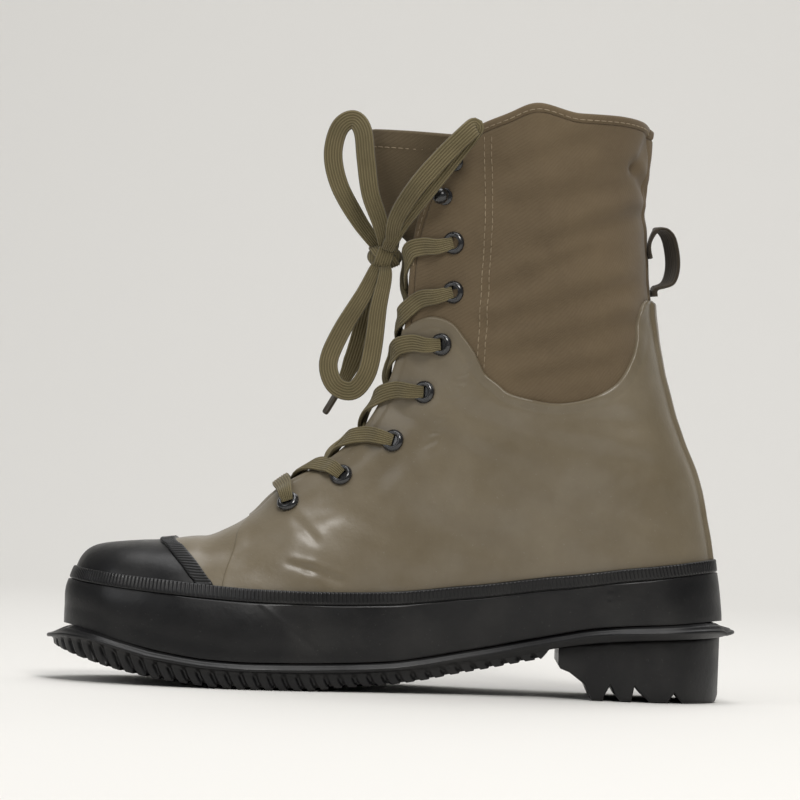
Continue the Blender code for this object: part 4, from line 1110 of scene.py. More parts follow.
def thread_look():
    look, tree, shader, place = new_look("thread")
    ply = noise(tree, place, 1800.0, 2.0)
    soil = ramp(tree, noise(tree, place, 60.0, 3.0), [(0.40, 0.0), (0.70, 0.6)])
    clean = blended(tree, ply, (0.235, 0.180, 0.112), (0.325, 0.262, 0.170))
    tint = blended(tree, soil, clean, (0.16, 0.115, 0.070))
    feed(tree, shader, {"Base Color": tint, "Roughness": 0.75, "Normal": bumped(tree, ply, 0.6, 0.00008)})
    return look


THREAD = thread_look()


StitchRing = namedtuple("StitchRing", "share radius lift")
STITCH_RINGS = [
    StitchRing(0.0, 0.35, -0.4),
    StitchRing(0.10, 0.8, 0.25),
    StitchRing(0.5, 1.0, 0.6),
    StitchRing(0.90, 0.8, 0.25),
    StitchRing(1.0, 0.35, -0.4),
]
STITCH_SIDES = 6


def along_line(run, rows, at):
    return np.array([np.interp(at, run, rows[:, k]) for k in range(3)])


def stitched(bm, points, normals):
    """Stitches along a line of close points, each a short rounded thread that dips at both ends."""
    run = run_along(points)
    count = max(int(run[-1] / STITCH_PITCH), 1)
    for number in range(count):
        starts = (number + 0.10) * run[-1] / count
        stops = (number + 0.90) * run[-1] / count
        rings = []
        for share, radius, lift in STITCH_RINGS:
            at = starts + (stops - starts) * share
            out = along_line(run, normals, at)
            out /= np.linalg.norm(out)
            way = along_line(run, points, at + 0.0004) - along_line(run, points, at - 0.0004)
            way /= max(np.linalg.norm(way), 1e-9)
            aside = np.cross(way, out)
            centre = along_line(run, points, at) + out * lift * STITCH_RADIUS
            ring = []
            for k in range(STITCH_SIDES):
                angle = k * 2 * math.pi / STITCH_SIDES
                spoke = aside * math.cos(angle) + out * math.sin(angle)
                ring.append(bm.verts.new(centre + spoke * STITCH_RADIUS * radius))
            rings.append(ring)
        for a, b in zip(rings, rings[1:]):
            for k in range(STITCH_SIDES):
                n = (k + 1) % STITCH_SIDES
                bm.faces.new((a[k], a[n], b[n], b[k]))
        bm.faces.new(rings[0][::-1])
        bm.faces.new(rings[-1])


def found_on(side, x, z):
    """Ribs and shares up them of points given in side view."""
    t_try, v_try = np.meshgrid(np.linspace(5, STATIONS - 0.01, 90), np.linspace(0.02, 0.999, 70))
    tried = rib_points(np.full_like(t_try, side), t_try, v_try)
    t = np.empty_like(x)
    v = np.empty_like(x)
    for k, (px, pz) in enumerate(zip(x, z)):
        best = np.argmin((tried[..., 0] - px) ** 2 + (tried[..., 2] - pz) ** 2)
        t[k], v[k] = t_try.flat[best], v_try.flat[best]
    one = np.full_like(x, side)
    for _ in range(8):
        here = rib_points(one, t, v)
        by_t = (rib_points(one, t + 0.01, v) - here) / 0.01
        by_v = (rib_points(one, t, v + 0.001) - here) / 0.001
        dx, dz = x - here[:, 0], z - here[:, 2]
        det = by_t[:, 0] * by_v[:, 2] - by_v[:, 0] * by_t[:, 2]
        det = np.where(np.abs(det) < 1e-9, 1e-9, det)
        step_t = np.clip((dx * by_v[:, 2] - by_v[:, 0] * dz) / det, -0.3, 0.3)
        step_v = np.clip((by_t[:, 0] * dz - dx * by_t[:, 2]) / det, -0.1, 0.1)
        t = np.clip(t + step_t, 5.0, STATIONS - 0.01)
        v = np.clip(v + step_v, 0.01, 0.9985)
    return t, v


SEAM_HALF_GAP = 0.0016
SEAM_HEIGHTS = [0.142, 0.150, 0.213, 0.2505]
SEAM_PLACES = [0.0352, 0.0354, 0.0367, 0.0348]
HEM_FROM = 9.75


def stitched_on(bm, side, t, v, clear, offset):
    """Stitches along the bare canvas, a share clear of the rubber."""
    one = np.full_like(t, side)
    bare = v > by_side(CANVAS_SHARES, one, t) + clear
    one, t, v = one[bare], t[bare], v[bare]
    stitched(bm, upper_points(side, t, v, offset + 0 * t), rib_normals(one, t, v))


seams = bmesh.new()
for side in (-1, 1):
    for shift in (-SEAM_HALF_GAP, SEAM_HALF_GAP):
        heights = np.linspace(SEAM_HEIGHTS[0], SEAM_HEIGHTS[-1], 120)
        t, v = found_on(side, np.interp(heights, SEAM_HEIGHTS, SEAM_PLACES) + shift, heights)
        stitched_on(seams, side, t, v, 0.004, 0.0)
    t = np.linspace(HEM_FROM, STATIONS, 420)
    v = 1 - HEM_STITCH / by_side(RIB_LENGTHS, np.full_like(t, side), t)
    stitched_on(seams, side, t, v, 0.01, 0.00012)
finished("seam_stitches", seams, THREAD)

# Rubber coats: vamp and quarters
# Canvas dipped in olive-khaki rubber, with a soft gloss. The quarters lap over the vamp with a
# raised, rolled edge and roll round the throat, where they are the eyestays.
QUARTER_LIFT = 0.0005
QUARTER_LIFT_REACH = 0.007
BEAD = 0.0002
BEAD_WIDTH = 0.0022
BEAD_GROOVE = 0.00022
BEAD_GROOVE_AT = 0.0046
BEAD_GROOVE_WIDTH = 0.0012
ROLL_RADIUS = 0.0011
FOXING_HEIGHT = 0.0318
Band = namedtuple("Band", "place height")
FOXING_TOP = [
    Band(0.000, 0.83),
    Band(0.037, 0.83),
    Band(0.103, 0.885),
    Band(0.190, 0.975),
    Band(0.244, 1.000),
    Band(0.330, 1.000),
    Band(0.420, 0.990),
    Band(0.500, 0.985),
    Band(0.565, 0.960),
    Band(0.632, 0.912),
    Band(0.711, 0.862),
    Band(0.790, 0.805),
    Band(0.858, 0.827),
    Band(0.929, 0.865),
    Band(1.000, 0.880),
]


def foxing_over(x):
    return FOXING_HEIGHT * steady(FOXING_TOP, x / LENGTH + 0.5, "height")


def foxing_share(side, t, lower=0.0):
    """Share up each rib at which the foxing ends, or a distance below that."""
    def above(v):
        points = rib_points(side, t, v)
        return points[..., 2] > sole_level(points[..., 0], "top") + foxing_over(points[..., 0]) - lower

    return halved(np.zeros_like(t), np.ones_like(t), above)


TOE_RIBS = DENSE_T < 4
FORE_RIBS = (DENSE_T >= 4) & (DENSE_T < 6)
UNDER_FOXING = {
    side: foxing_share(np.full_like(DENSE_T, side), DENSE_T, 0.004) for side in (-1, 1)
}
FOXING_SHARES = {side: foxing_share(np.full_like(DENSE_T, side), DENSE_T) for side in (-1, 1)}


def rib_at_line(side, v, line, shift=0.0):
    """Rib at which a share up the upper meets an edge given in side view."""
    def past(t):
        points = rib_points(side, t, v)
        return points[..., 0] > np.interp(points[..., 2], line[:, 1], line[:, 0]) + shift

    return halved(np.full_like(v, 1.0), np.full_like(v, 9.0), past)


def rolled(distance, radius=ROLL_RADIUS):
    """How full a layer stands at a distance from its edge, 0 at the edge and 1 inside."""
    near = np.clip(distance / radius, 0.0, 1.0)
    return np.sqrt(np.maximum(1 - (1 - near) ** 2, 0.0))


THROAT_ROLL = [
    (0.0016, 0.0),
    (0.0008, -0.00010),
    (0.0003, -0.00040),
    (0.0001, -0.00100),
    (0.0, -0.0018),
    (0.0001, -0.0027),
    (0.0004, -0.0034),
    (0.0014, -0.0038),
    (0.0060, -0.0038),
    (0.0090, -0.0036),
]


def edge_distance(points, line):
    """Distance in side view from points to an edge."""
    flat = points[..., (0, 2)].reshape(-1, 2)
    best = np.full(len(flat), 1.0)
    for start, stop in zip(line[:-1], line[1:]):
        run = stop - start
        share = np.clip(((flat - start) @ run) / max(float(run @ run), 1e-12), 0.0, 1.0)
        best = np.minimum(best, long(flat - start - share[:, None] * run)[:, 0])
    return best.reshape(points.shape[:-1])


QUARTER_ROWS = 110
QUARTER_COLUMNS = 430


def quarter_place(side_value):
    def place(across, up):
        side = np.full_like(across, side_value)
        row = np.rint(up * (QUARTER_ROWS + len(THROAT_ROLL) - 1)).astype(int)
        roll = row - QUARTER_ROWS
        share = np.clip(row / QUARTER_ROWS, 0.0, 1.0)
        t = np.full_like(across, 5.4)
        for _ in range(4):
            low = by_side(UNDER_FOXING, side, t)
            front_v = low + (by_side(CANVAS_SHARES, side, t) - low) * share
            t = rib_at_line(side, np.minimum(front_v, 0.9999), QUARTER_LINE)
        front = t
        t = spread_ribs(front, STATIONS, across**1.1)
        low = by_side(UNDER_FOXING, side, t)
        high = by_side(CANVAS_SHARES, side, t)
        rib_length = by_side(RIB_LENGTHS, side, t)
        throat = high > 0.9995
        turn = np.array(THROAT_ROLL)[np.clip(roll, 0, len(THROAT_ROLL) - 1)]
        last = high - THROAT_ROLL[0][0] / rib_length
        v = np.where(roll < 0, low + (last - low) * share, high - turn[:, 0] / rib_length)
        over_edge = np.where(throat, turn[:, 1], np.maximum(turn[:, 1], -RUBBER - QUARTER_LIFT))
        v = np.where((roll > 4) & ~throat, high + 0 * v, v)
        flat = rib_points(side, t, np.clip(v, 0.0, JUST_BELOW))
        start = rib_points(side, front, np.clip(v, 0.0, JUST_BELOW))
        apart = np.abs(flat - start)
        from_front = apart[..., 0] + 0.5 * apart[..., 2]
        full = rolled(from_front)
        lift = QUARTER_LIFT * np.exp(-((from_front / QUARTER_LIFT_REACH) ** 2))
        border = np.minimum((1 - v) * rib_length, edge_distance(flat, CANVAS_LINE))
        bead = BEAD * np.exp(-((border / BEAD_WIDTH) ** 2))
        bead = bead - BEAD_GROOVE * np.exp(-(((border - BEAD_GROOVE_AT) / BEAD_GROOVE_WIDTH) ** 2))
        offset = COAT_LOW + (RUBBER + lift + bead) * full + np.where(roll < 0, 0.0, over_edge * full)
        points = upper_points(side, t, np.clip(v, 0.0, JUST_BELOW), offset)
        return points, np.stack([t * RIB_MAP * side, v * rib_length], axis=-1)

    return place


OLIVE_RUBBER = rubber_look(
    "olive_rubber",
    (0.142, 0.113, 0.070),
    (0.186, 0.153, 0.102),
    roughness=0.36,
    grain=0.55,
    gloss=0.30,
    dusty=0.16,
)
for side, word in ((-1, "inner"), (1, "outer")):
    rows = QUARTER_ROWS + len(THROAT_ROLL) - 1
    quarter = moved_grid(QUARTER_COLUMNS, rows, quarter_place(side), reverse=side > 0)
    finished(f"quarter_coat_{word}", quarter, OLIVE_RUBBER, [f"quarter_{word}"])

VAMP_ROWS = 60
VAMP_COLUMNS = 120
UNDER_CAP = 0.004
UNDER_QUARTER = 0.0025


def vamp_place(side_value):
    def place(across, up):
        side = np.full_like(across, side_value)
        row = np.rint(up * (VAMP_ROWS + len(THROAT_ROLL) - 1)).astype(int)
        roll = row - VAMP_ROWS
        share = 1 - (1 - np.clip(row / VAMP_ROWS, 0.0, 1.0)) ** 1.8
        low = np.full_like(across, float(UNDER_FOXING[side_value][FORE_RIBS].mean()))
        v = low + (1.0 - low) * share
        front = rib_at_line(side, v, CAP_LINE, -UNDER_CAP)
        rear = rib_at_line(side, np.minimum(v, 0.9999), QUARTER_LINE, UNDER_QUARTER)
        t = front + (np.maximum(rear, front) - front) * across
        rib_length = by_side(RIB_LENGTHS, side, t)
        opened = np.clip((t - THROAT_STATION) / 0.12, 0.0, 1.0)
        turn = np.array(THROAT_ROLL)[np.clip(roll, 0, len(THROAT_ROLL) - 1)]
        drop = turn[:, 1] * opened
        v = np.where(roll < 0, v, 1 - turn[:, 0] * opened * (roll > 4) / rib_length)
        offset = COAT_HIGH - 0.00005 + np.where(roll < 0, 0.0, drop)
        points = upper_points(side, t, v, offset)
        return points, np.stack([t * RIB_MAP * side, v * UP_MAP], axis=-1)

    return place


vamp = bmesh.new()
for side in (-1, 1):
    rows = VAMP_ROWS + len(THROAT_ROLL) - 1
    joined(vamp, moved_grid(VAMP_COLUMNS, rows, vamp_place(side), reverse=side > 0))
bmesh.ops.remove_doubles(vamp, verts=vamp.verts, dist=0.00003)
finished("vamp_coat", vamp, OLIVE_RUBBER, ["vamp"])

# Toe cap and its ribbed strip
# A smooth black rubber cap over the toes, whose rear edge is covered by a narrow strip with fine
# ribs across it that runs over the foot from foxing to foxing.
TOE_STRIP_WIDTH = 0.0085
RIB_STRIP = 0.0007
STRIP_PITCH = 0.0018
CAP_ROWS = 60
CAP_COLUMNS = 220


def cap_place(across, up):
    side = np.where(across < 0.5, -1.0, 1.0)
    v0 = float(UNDER_FOXING[-1][TOE_RIBS].min())
    v = v0 + (1 - v0) * (1 - (1 - up) ** 1.8)
    rear = rib_at_line(side, v, CAP_LINE, -0.0002)
    share = np.abs(2 * across - 1)
    t = rear * share**1.15
    flat = rib_points(side, t, v)
    stop = rib_points(side, rear, v)
    full = rolled(long(flat - stop)[:, 0], 0.0009)
    offset = COAT_LOW + RUBBER * full + 0.00012 * np.sin(flat[:, 0] * 240) * np.sin(flat[:, 2] * 300)
    return upper_points(side, t, v, offset, 0.0), np.stack([flat[:, 0], flat[:, 1]], axis=-1)


cap = moved_grid(CAP_COLUMNS, CAP_ROWS, cap_place, weld=True)
finished("toe_cap_shell", cap, BLACK_RUBBER, ["toe_cap"])

STRIP_COLUMNS = 620
STRIP_ROWS = 16


def strip_line(side, v):
    """Middle of the strip on one side, at shares up the upper."""
    one = np.full_like(v, side)
    return rib_points(one, rib_at_line(one, v, CAP_LINE, -0.5 * TOE_STRIP_WIDTH), v)


strip_shares = np.linspace(float(FOXING_SHARES[-1][FORE_RIBS].mean()) - 0.02, 1.0, 1500)
inner_line = strip_line(-1.0, strip_shares)
outer_line = strip_line(1.0, strip_shares)
strip_run = np.vstack([inner_line, outer_line[::-1]])
strip_length = run_along(strip_run)
strip_at = np.concatenate([strip_shares, 2.0 - strip_shares[::-1]])


def strip_place(across, up):
    way = np.interp(across * strip_length[-1], strip_length, strip_at)
    side = np.where(way < 1.0, -1.0, 1.0)
    v = np.minimum(np.where(way < 1.0, way, 2.0 - way), 1.0)
    row = np.rint(up * STRIP_ROWS).astype(int)
    edge = np.minimum(row, STRIP_ROWS - row)
    inside = 0.08 + (row - 4) / (STRIP_ROWS - 8) * 0.84
    spread = np.where(row < 4, row * 0.02, inside)
    spread = np.where(row > STRIP_ROWS - 4, 1 - (STRIP_ROWS - row) * 0.02, spread)
    t = rib_at_line(side, v, CAP_LINE, -TOE_STRIP_WIDTH * (1 - spread) + 0.0003)
    phase = across * strip_length[-1] / STRIP_PITCH
    rib = 0.5 + 0.5 * np.cos(2 * math.pi * phase)
    rib = rib**0.7 * np.clip((edge - 2) / 2, 0.0, 1.0)
    full = np.clip(edge / 3, 0.0, 1.0) ** 0.5
    offset = COAT_HIGH - 0.0003 + (RIB_STRIP + 0.0005) * full + 0.00042 * (rib - 0.4) * (edge > 2)
    points = upper_points(side, t, v, offset, 0.5)
    return points, np.stack([across * strip_length[-1], spread * TOE_STRIP_WIDTH], axis=-1)


strip = moved_grid(STRIP_COLUMNS, STRIP_ROWS, strip_place, weld=True)
finished("toe_strip", strip, BLACK_RUBBER, ["toe_band"], sharp=70)

# Foxing and its ribbed band
# A black rubber wall wrapped round the foot over the coats and down to the flange, soft-edged, with
# a fine-ribbed band along its top and a joint at the back.
RIB_STRIP_HEIGHT = 0.0058
BAND_PITCH = 0.0019
FOXING_BULGE = 0.0006
FOXING_FOOT = 0.0005
TOE_TAPER = 0.0013
TAPER_ENDS = 3.2
WAIST_MARK = (-0.0540, 0.0340)
JOINT_AT = 0.0972
FOXING_ROWS = 40
FOXING_COLUMNS = 620


def round_foxing(across):
    at = evenly(across)
    side = np.where(at < STATIONS, -1.0, 1.0)
    return side, rib_of(at)


def foxing_swell(points, side):
    """Slow waves, the raised diagonal mark at the waist and the upright joint mark."""
    x, z = points[..., 0], points[..., 2]
    waves = 0.00010 * np.sin(x * 95 + z * 60) + 0.00007 * np.sin(x * 210 - z * 150)
    off = (x - WAIST_MARK[0]) * 0.62 + (z - WAIST_MARK[1]) * 0.78
    ridge = 0.00022 * np.exp(-((off / 0.0010) ** 2)) * (side < 0) * (np.abs(x + 0.050) < 0.02)
    joint = -0.00030 * np.exp(-(((x - JOINT_AT) / 0.00035) ** 2)) * (side < 0)
    return waves + ridge + joint


def toe_taper(t, share):
    """How much the foxing thins towards its top round the toe."""
    return TOE_TAPER * np.clip(share, 0.0, 1.0) ** 2 * np.clip((TAPER_ENDS - t) / 2.0, 0.0, 1.0)


def foxing_place(across, up):
    side, t = round_foxing(across)
    top = by_side(FOXING_SHARES, side, t)
    row = np.rint(up * FOXING_ROWS).astype(int)
    body = FOXING_ROWS - 8
    share = 1 - (1 - np.clip(row / body, 0.0, 1.0)) ** 1.5
    ledge = foxing_share(side, t, RIB_STRIP_HEIGHT + 0.0002)
    past = np.clip((row - body) / 7, 0.0, 1.0)
    v = np.where(row <= body, ledge * share, ledge + (top - ledge) * past)
    full = FOXING_LOW + FOXING
    thin = full - RIB_STRIP - GAP
    offset = np.where(row <= body, thin + (full - thin) * rolled(body - row, 3), thin)
    offset = np.where(row == FOXING_ROWS, COAT_HIGH - 0.0004, offset)
    foot = np.exp(-((v / 0.03) ** 2))
    bulge = FOXING_BULGE * np.sin(math.pi * share) * (row <= body)
    offset = offset + FOXING_FOOT * foot + bulge - toe_taper(t, v / np.maximum(top, 1e-6))
    points = rib_points(side, t, v)
    swell = foxing_swell(points, side) * (row < body - 2) * np.clip(v / 0.05, 0, 1)
    points = upper_points(side, t, v, offset + swell, 0.15)
    return points, np.stack([across * PERIMETER, v * UP_MAP], axis=-1)


foxing = moved_grid(FOXING_COLUMNS, FOXING_ROWS, foxing_place, weld=True)
finished("foxing_wall", foxing, BLACK_RUBBER, ["foxing"])

BAND_RIBS = round(PERIMETER / BAND_PITCH)
BAND_COLUMNS = BAND_RIBS * 6
BAND_SPREAD = [0.0, 0.02, 0.05, 0.12, 0.25, 0.38, 0.50, 0.62, 0.75, 0.88, 0.95, 0.98, 1.0]
BAND_ROWS = len(BAND_SPREAD) - 1


def band_place(across, up):
    side, t = round_foxing(across)
    top = by_side(FOXING_SHARES, side, t)
    ledge = foxing_share(side, t, RIB_STRIP_HEIGHT)
    row = np.rint(up * BAND_ROWS).astype(int)
    edge = np.minimum(row, BAND_ROWS - row)
    spread = np.array(BAND_SPREAD)[row]
    v = ledge + (top - ledge) * spread
    phase = across * BAND_RIBS
    rib = (0.5 + 0.5 * np.cos(2 * math.pi * phase)) ** 0.7
    strength = np.clip((t - 0.4) / 1.6, 0.15, 1.0) * np.clip((STATIONS - 0.1 - t) / 1.5, 0.25, 1.0)
    low = FOXING_LOW + FOXING - RIB_STRIP
    full = np.clip(edge / 3, 0.0, 1.0) ** 0.5
    offset = low - 0.0003 + (RIB_STRIP + 0.0003) * full + 0.00045 * (rib - 0.5) * strength * (edge > 2)
    offset = offset - toe_taper(t, v / np.maximum(top, 1e-6))
    points = upper_points(side, t, v, offset, 0.15)
    return points, np.stack([across * PERIMETER, spread * RIB_STRIP_HEIGHT], axis=-1)


band = moved_grid(BAND_COLUMNS, BAND_ROWS, band_place, weld=True)
finished("foxing_ribs", band, BLACK_RUBBER, ["foxing_band"], sharp=70)

# Back strip
# A narrow rubber strip, in the coats' olive, over the seam up the back, from the foxing's top to
# the canvas, with thinned edges.
BACK_STRIP = 0.0008
BACK_FURROW = 0.0003
BACK_REACH = 0.5
BACK_TOP = 0.572


def back_place(across, up):
    at = STATIONS - BACK_REACH + 2 * BACK_REACH * across
    side = np.where(at < STATIONS, -1.0, 1.0)
    t = rib_of(at)
    low = float(FOXING_SHARES[-1][-1]) - 0.01

    def above(v):
        return rib_points(side, t, v)[..., 2] > height_of(1.0, BACK_TOP)

    high = halved(np.zeros_like(t), np.ones_like(t), above)
    v = low + (high - low) * up
    edge = np.minimum(across, 1 - across) * 2 * BACK_REACH
    full = np.clip(edge / 0.10, 0.0, 1.0) ** 0.6 * np.clip((1 - up) / 0.012, 0.0, 1.0) ** 0.6
    furrow = BACK_FURROW * np.exp(-(((edge - 0.16) / 0.03) ** 2))
    offset = COAT_HIGH - 0.0002 + (BACK_STRIP + 0.0008) * full - furrow
    points = upper_points(side, t, v, offset)
    return points, np.stack([across * 0.02, v * UP_MAP], axis=-1)


back = moved_grid(30, 120, back_place, weld=True)
finished("back_seam_strip", back, OLIVE_RUBBER, ["back_strip"])

# Tongue
# Soft canvas tongue with bellows folded in under the flaps. Its top stands forward of the throat
# and ends in a stitched hem.
TONGUE = 0.0018
TONGUE_PLAY = 0.0014
TONGUE_FORWARD = 0.043
Fold = namedtuple("Fold", "edge wing up forward lift")
TONGUE_FOLDS = [
    Fold(5.35, 5.10, 0.80, 0.0010, 0.000),
    Fold(6.00, 6.05, 0.77, 0.0015, 0.000),
    Fold(7.00, 7.20, 0.78, 0.0012, 0.000),
    Fold(8.00, 8.35, 0.81, 0.0006, 0.000),
    Fold(9.00, 9.50, 0.84, 0.0004, 0.000),
    Fold(9.60, 10.15, 0.86, 0.0004, 0.000),
    Fold(9.90, 10.50, 0.87, 0.0036, 0.000),
    Fold(10.15, 10.75, 0.89, 0.0180, 0.000),
    Fold(10.45, 11.15, 0.92, 0.0300, 0.000),
    Fold(10.80, 11.60, 0.96, 0.0400, 0.002),
    Fold(11.00, 11.90, 0.985, 0.0430, 0.005),
]
TONGUE_ROWS = 90
TONGUE_STEPS = 4
HEM_HEIGHT = 0.0085
STITCH_FROM_SIDE = 14
TONGUE_DEPTH = -(WALL + TONGUE / 2 + TONGUE_PLAY)


def single(side, t, v, offset, creases=1.0):
    """One point so far outside the upper's outer face."""
    rows = (np.array([value]) for value in (float(side), t, v, offset))
    return upper_points(*rows, creases)[0]


def facing(side, t, v):
    return rib_normals(np.array([float(side)]), np.array([t]), np.array([v]))[0]


def level_way(way):
    """Direction without its part across the boot."""
    way = way * np.array([1.0, 0.0, 1.0])
    return way / np.linalg.norm(way)


def tongue_row(at):
    fold = {
        name: float(steady(TONGUE_FOLDS, np.array([at]), name, key=None)[0]) for name in Fold._fields
    }
    halves = {}
    for side in (-1, 1):
        half = []
        for share in (0.0, 0.2, 0.4, 0.6, 0.8, 1.0):
            t = fold["wing"] + (fold["edge"] - fold["wing"]) * share
            v = fold["up"] + (1.0 - fold["up"]) * share
            half.append(single(side, t, min(v, 0.999), TONGUE_DEPTH, 0.4))
        halves[side] = half
    centre = (halves[-1][-1] + halves[1][-1]) / 2
    way = level_way(facing(-1, fold["edge"], 1.0) + facing(1, fold["edge"], 1.0))
    front = centre + way * fold["forward"] + np.array([0, 0, fold["lift"]])
    for side in (-1, 1):
        near = halves[side][-1] * 0.7 + centre * 0.3
        bend = near * 0.5 + front * 0.5
        bend[1] = near[1] * (0.5 + 0.4 * min(fold["forward"] / TONGUE_FORWARD, 1.0))
        halves[side] += [near, bend]
    return through(halves[-1] + [front] + halves[1][::-1], TONGUE_STEPS)


tongue_ats = np.linspace(0, len(TONGUE_FOLDS) - 1, TONGUE_ROWS + 1)
tongue_grid = np.array([tongue_row(at) for at in tongue_ats])
tongue_along = np.gradient(tongue_grid, axis=0)
tongue_over = np.gradient(tongue_grid, axis=1)
tongue_out = np.cross(tongue_along, tongue_over)
tongue_out /= np.maximum(long(tongue_out), 1e-12)
if tongue_out[TONGUE_ROWS // 2, tongue_out.shape[1] // 2, 0] > 0:
    tongue_out = -tongue_out
from_top = long(tongue_grid[-1:, :, :] - tongue_grid)[..., 0]
tongue_y, tongue_z = tongue_grid[..., 1], tongue_grid[..., 2]
soft_folds = 0.0009 * np.sin(tongue_z * 140 + tongue_y * 60) * np.clip((tongue_z - 0.19) / 0.03, 0.0, 1.0)
below_knot = np.clip((0.235 - tongue_z) / 0.02, 0.0, 1.0)
middle_dip = -0.0012 * np.exp(-((tongue_y / 0.006) ** 2)) * below_knot
from_hem = from_top - HEM_HEIGHT + 0.0010
hem_swell = 0.00030 * (from_top < HEM_HEIGHT) - 0.00035 * np.exp(-((from_hem / 0.0004) ** 2))
tongue_face = tongue_grid + tongue_out * (soft_folds + middle_dip)[..., None]
tongue = bmesh.new()
half_wall = tongue_out * (TONGUE / 2 + hem_swell)[..., None]
crown = [
    tongue_face[-1] + tongue_out[-1] * TONGUE * share + np.array([0, 0, rise])
    for share, rise in ((0.36, 0.0006), (0.0, 0.0009), (-0.36, 0.0006))
]
shell = list(tongue_face + half_wall) + crown + list((tongue_face - half_wall)[::-1])
tongue.loops.layers.uv.new("surface")
tongue_verts = [[tongue.verts.new(p) for p in row] for row in shell]
for a, b in zip(tongue_verts, tongue_verts[1:] + tongue_verts[:1]):
    for k in range(len(a) - 1):
        tongue.faces.new((a[k], a[k + 1], b[k + 1], b[k]))
for k in (0, -1):
    tongue.faces.new([row[k] for row in tongue_verts])
bmesh.ops.recalc_face_normals(tongue, faces=tongue.faces)
# The tongue's twill is the canvas twill darkened by about a quarter: painted shade.
TONGUE_SHADED_CLOTH = woven_look(
    "tongue_twill_painted_shade",
    (0.098, 0.072, 0.040),
    (0.140, 0.108, 0.064),
    (0.066, 0.047, 0.027),
    pitch=0.00088,
    relief=0.00011,
    roughness=0.90,
)
finished("tongue_cloth", tongue, TONGUE_SHADED_CLOTH, ["tongue"])

tongue_stitches = bmesh.new()
hem_points = []
hem_normals = []
for column in range(STITCH_FROM_SIDE, tongue_grid.shape[1] - STITCH_FROM_SIDE):
    row = int(np.argmin(np.abs(from_hem[:, column])))
    hem_points.append(tongue_face[row, column] + tongue_out[row, column] * (TONGUE / 2 - 0.0001))
    hem_normals.append(tongue_out[row, column])
stitched(tongue_stitches, np.array(hem_points), np.array(hem_normals))
finished("tongue_stitches", tongue_stitches, THREAD)

# Eyelets
# Rolled rings in glossy black lacquer, seven up each flap; the lower five sit on the rubber coat
# and the upper two on the canvas.
EYELET_RADIUS = 0.0052
EYELET_HOLE = 0.0026
EYELET_HEIGHT = 0.0013
EYELET_SEAT = 0.0008
CANVAS_SEAT = 0.0004
RUBBER_EYELETS = 5
Fitting = namedtuple("Fitting", "rib up edge")
EYELETS = [
    Fitting(6.00, 0.750, 6.10),
    Fitting(6.98, 0.786, 6.75),
    Fitting(7.93, 0.765, 7.45),
    Fitting(8.78, 0.781, 8.20),
    Fitting(9.45, 0.781, 8.85),
    Fitting(10.05, 0.793, 9.25),
    Fitting(10.36, 0.852, 9.85),
]
HOOKS = [
    Fitting(10.51, 0.940, 10.3),
    Fitting(10.77, 0.965, 10.6),
]


def lacquer_look():
    look, tree, shader, place = new_look("black_lacquer")
    worn = noise(tree, place, 420.0, 4.0)
    scuff = maths(tree, "MULTIPLY", ramp(tree, worn, [(0.62, 0.0), (0.72, 1.0)]), 0.35)
    feeds = {
        "Base Color": blended(tree, scuff, (0.010, 0.010, 0.011), (0.10, 0.095, 0.085)),
        "Roughness": ramp(tree, worn, [(0.3, 0.16), (0.7, 0.34)]),
        "Coat Weight": 0.6,
        "Coat Roughness": 0.10,
        "Normal": bumped(tree, worn, 0.2, 0.0001),
    }
    feed(tree, shader, feeds)
    return look


LACQUER = lacquer_look()


def spun(profile, turns):
    """Body spun about its own Z from radii and heights, as one full turn."""
    bm = bmesh.new()
    verts = [bm.verts.new((radius, 0.0, height)) for radius, height in profile]
    edges = [bm.edges.new(pair) for pair in zip(verts, verts[1:])]
    bmesh.ops.spin(
        bm,
        geom=verts + edges,
        cent=(0, 0, 0),
        axis=(0, 0, 1),
        angle=2 * math.pi,
        steps=turns,
        use_merge=True,
    )
    bmesh.ops.remove_doubles(bm, verts=bm.verts, dist=0.000005)
    bmesh.ops.recalc_face_normals(bm, faces=bm.faces)
    return bm


def seated(bm, point, normal):
    turn = Vector(normal).to_track_quat("Z", "Y").to_matrix().to_4x4()
    bmesh.ops.transform(bm, matrix=Matrix.Translation(Vector(point)) @ turn, verts=bm.verts)
    return bm


def face_at(side, t, v, offset):
    return single(side, t, v, offset), facing(side, t, v)


def level_of(number):
    """How high an eyelet's seat lies over the upper's outer face."""
    return COAT_HIGH + EYELET_SEAT if number <= RUBBER_EYELETS else CANVAS_SEAT


RING = [
    (0.0, -0.0005),
    (EYELET_HOLE - 0.00005, -0.0005),
    (EYELET_HOLE, 0.0004),
    (EYELET_HOLE + 0.00022, 0.00090),
    (EYELET_HOLE + 0.00065, EYELET_HEIGHT * 0.98),
    (EYELET_HOLE + 0.00120, EYELET_HEIGHT),
    (EYELET_RADIUS * 0.80, EYELET_HEIGHT * 0.86),
    (EYELET_RADIUS * 0.92, EYELET_HEIGHT * 0.50),
    (EYELET_RADIUS * 0.99, -0.0001),
    (EYELET_RADIUS, -0.0006),
    (EYELET_RADIUS * 0.97, -0.0011),
]
for side, word in ((-1, "inner"), (1, "outer")):
    for number, fitting in enumerate(EYELETS, 1):
        point, normal = face_at(side, fitting.rib, fitting.up, level_of(number))
        ring = seated(spun(RING, 40), point, normal)
        name = f"ring_{word}_{number}"
        finished(name, ring, LACQUER, [f"eyelet_{word}_{number}"], sharp=60)

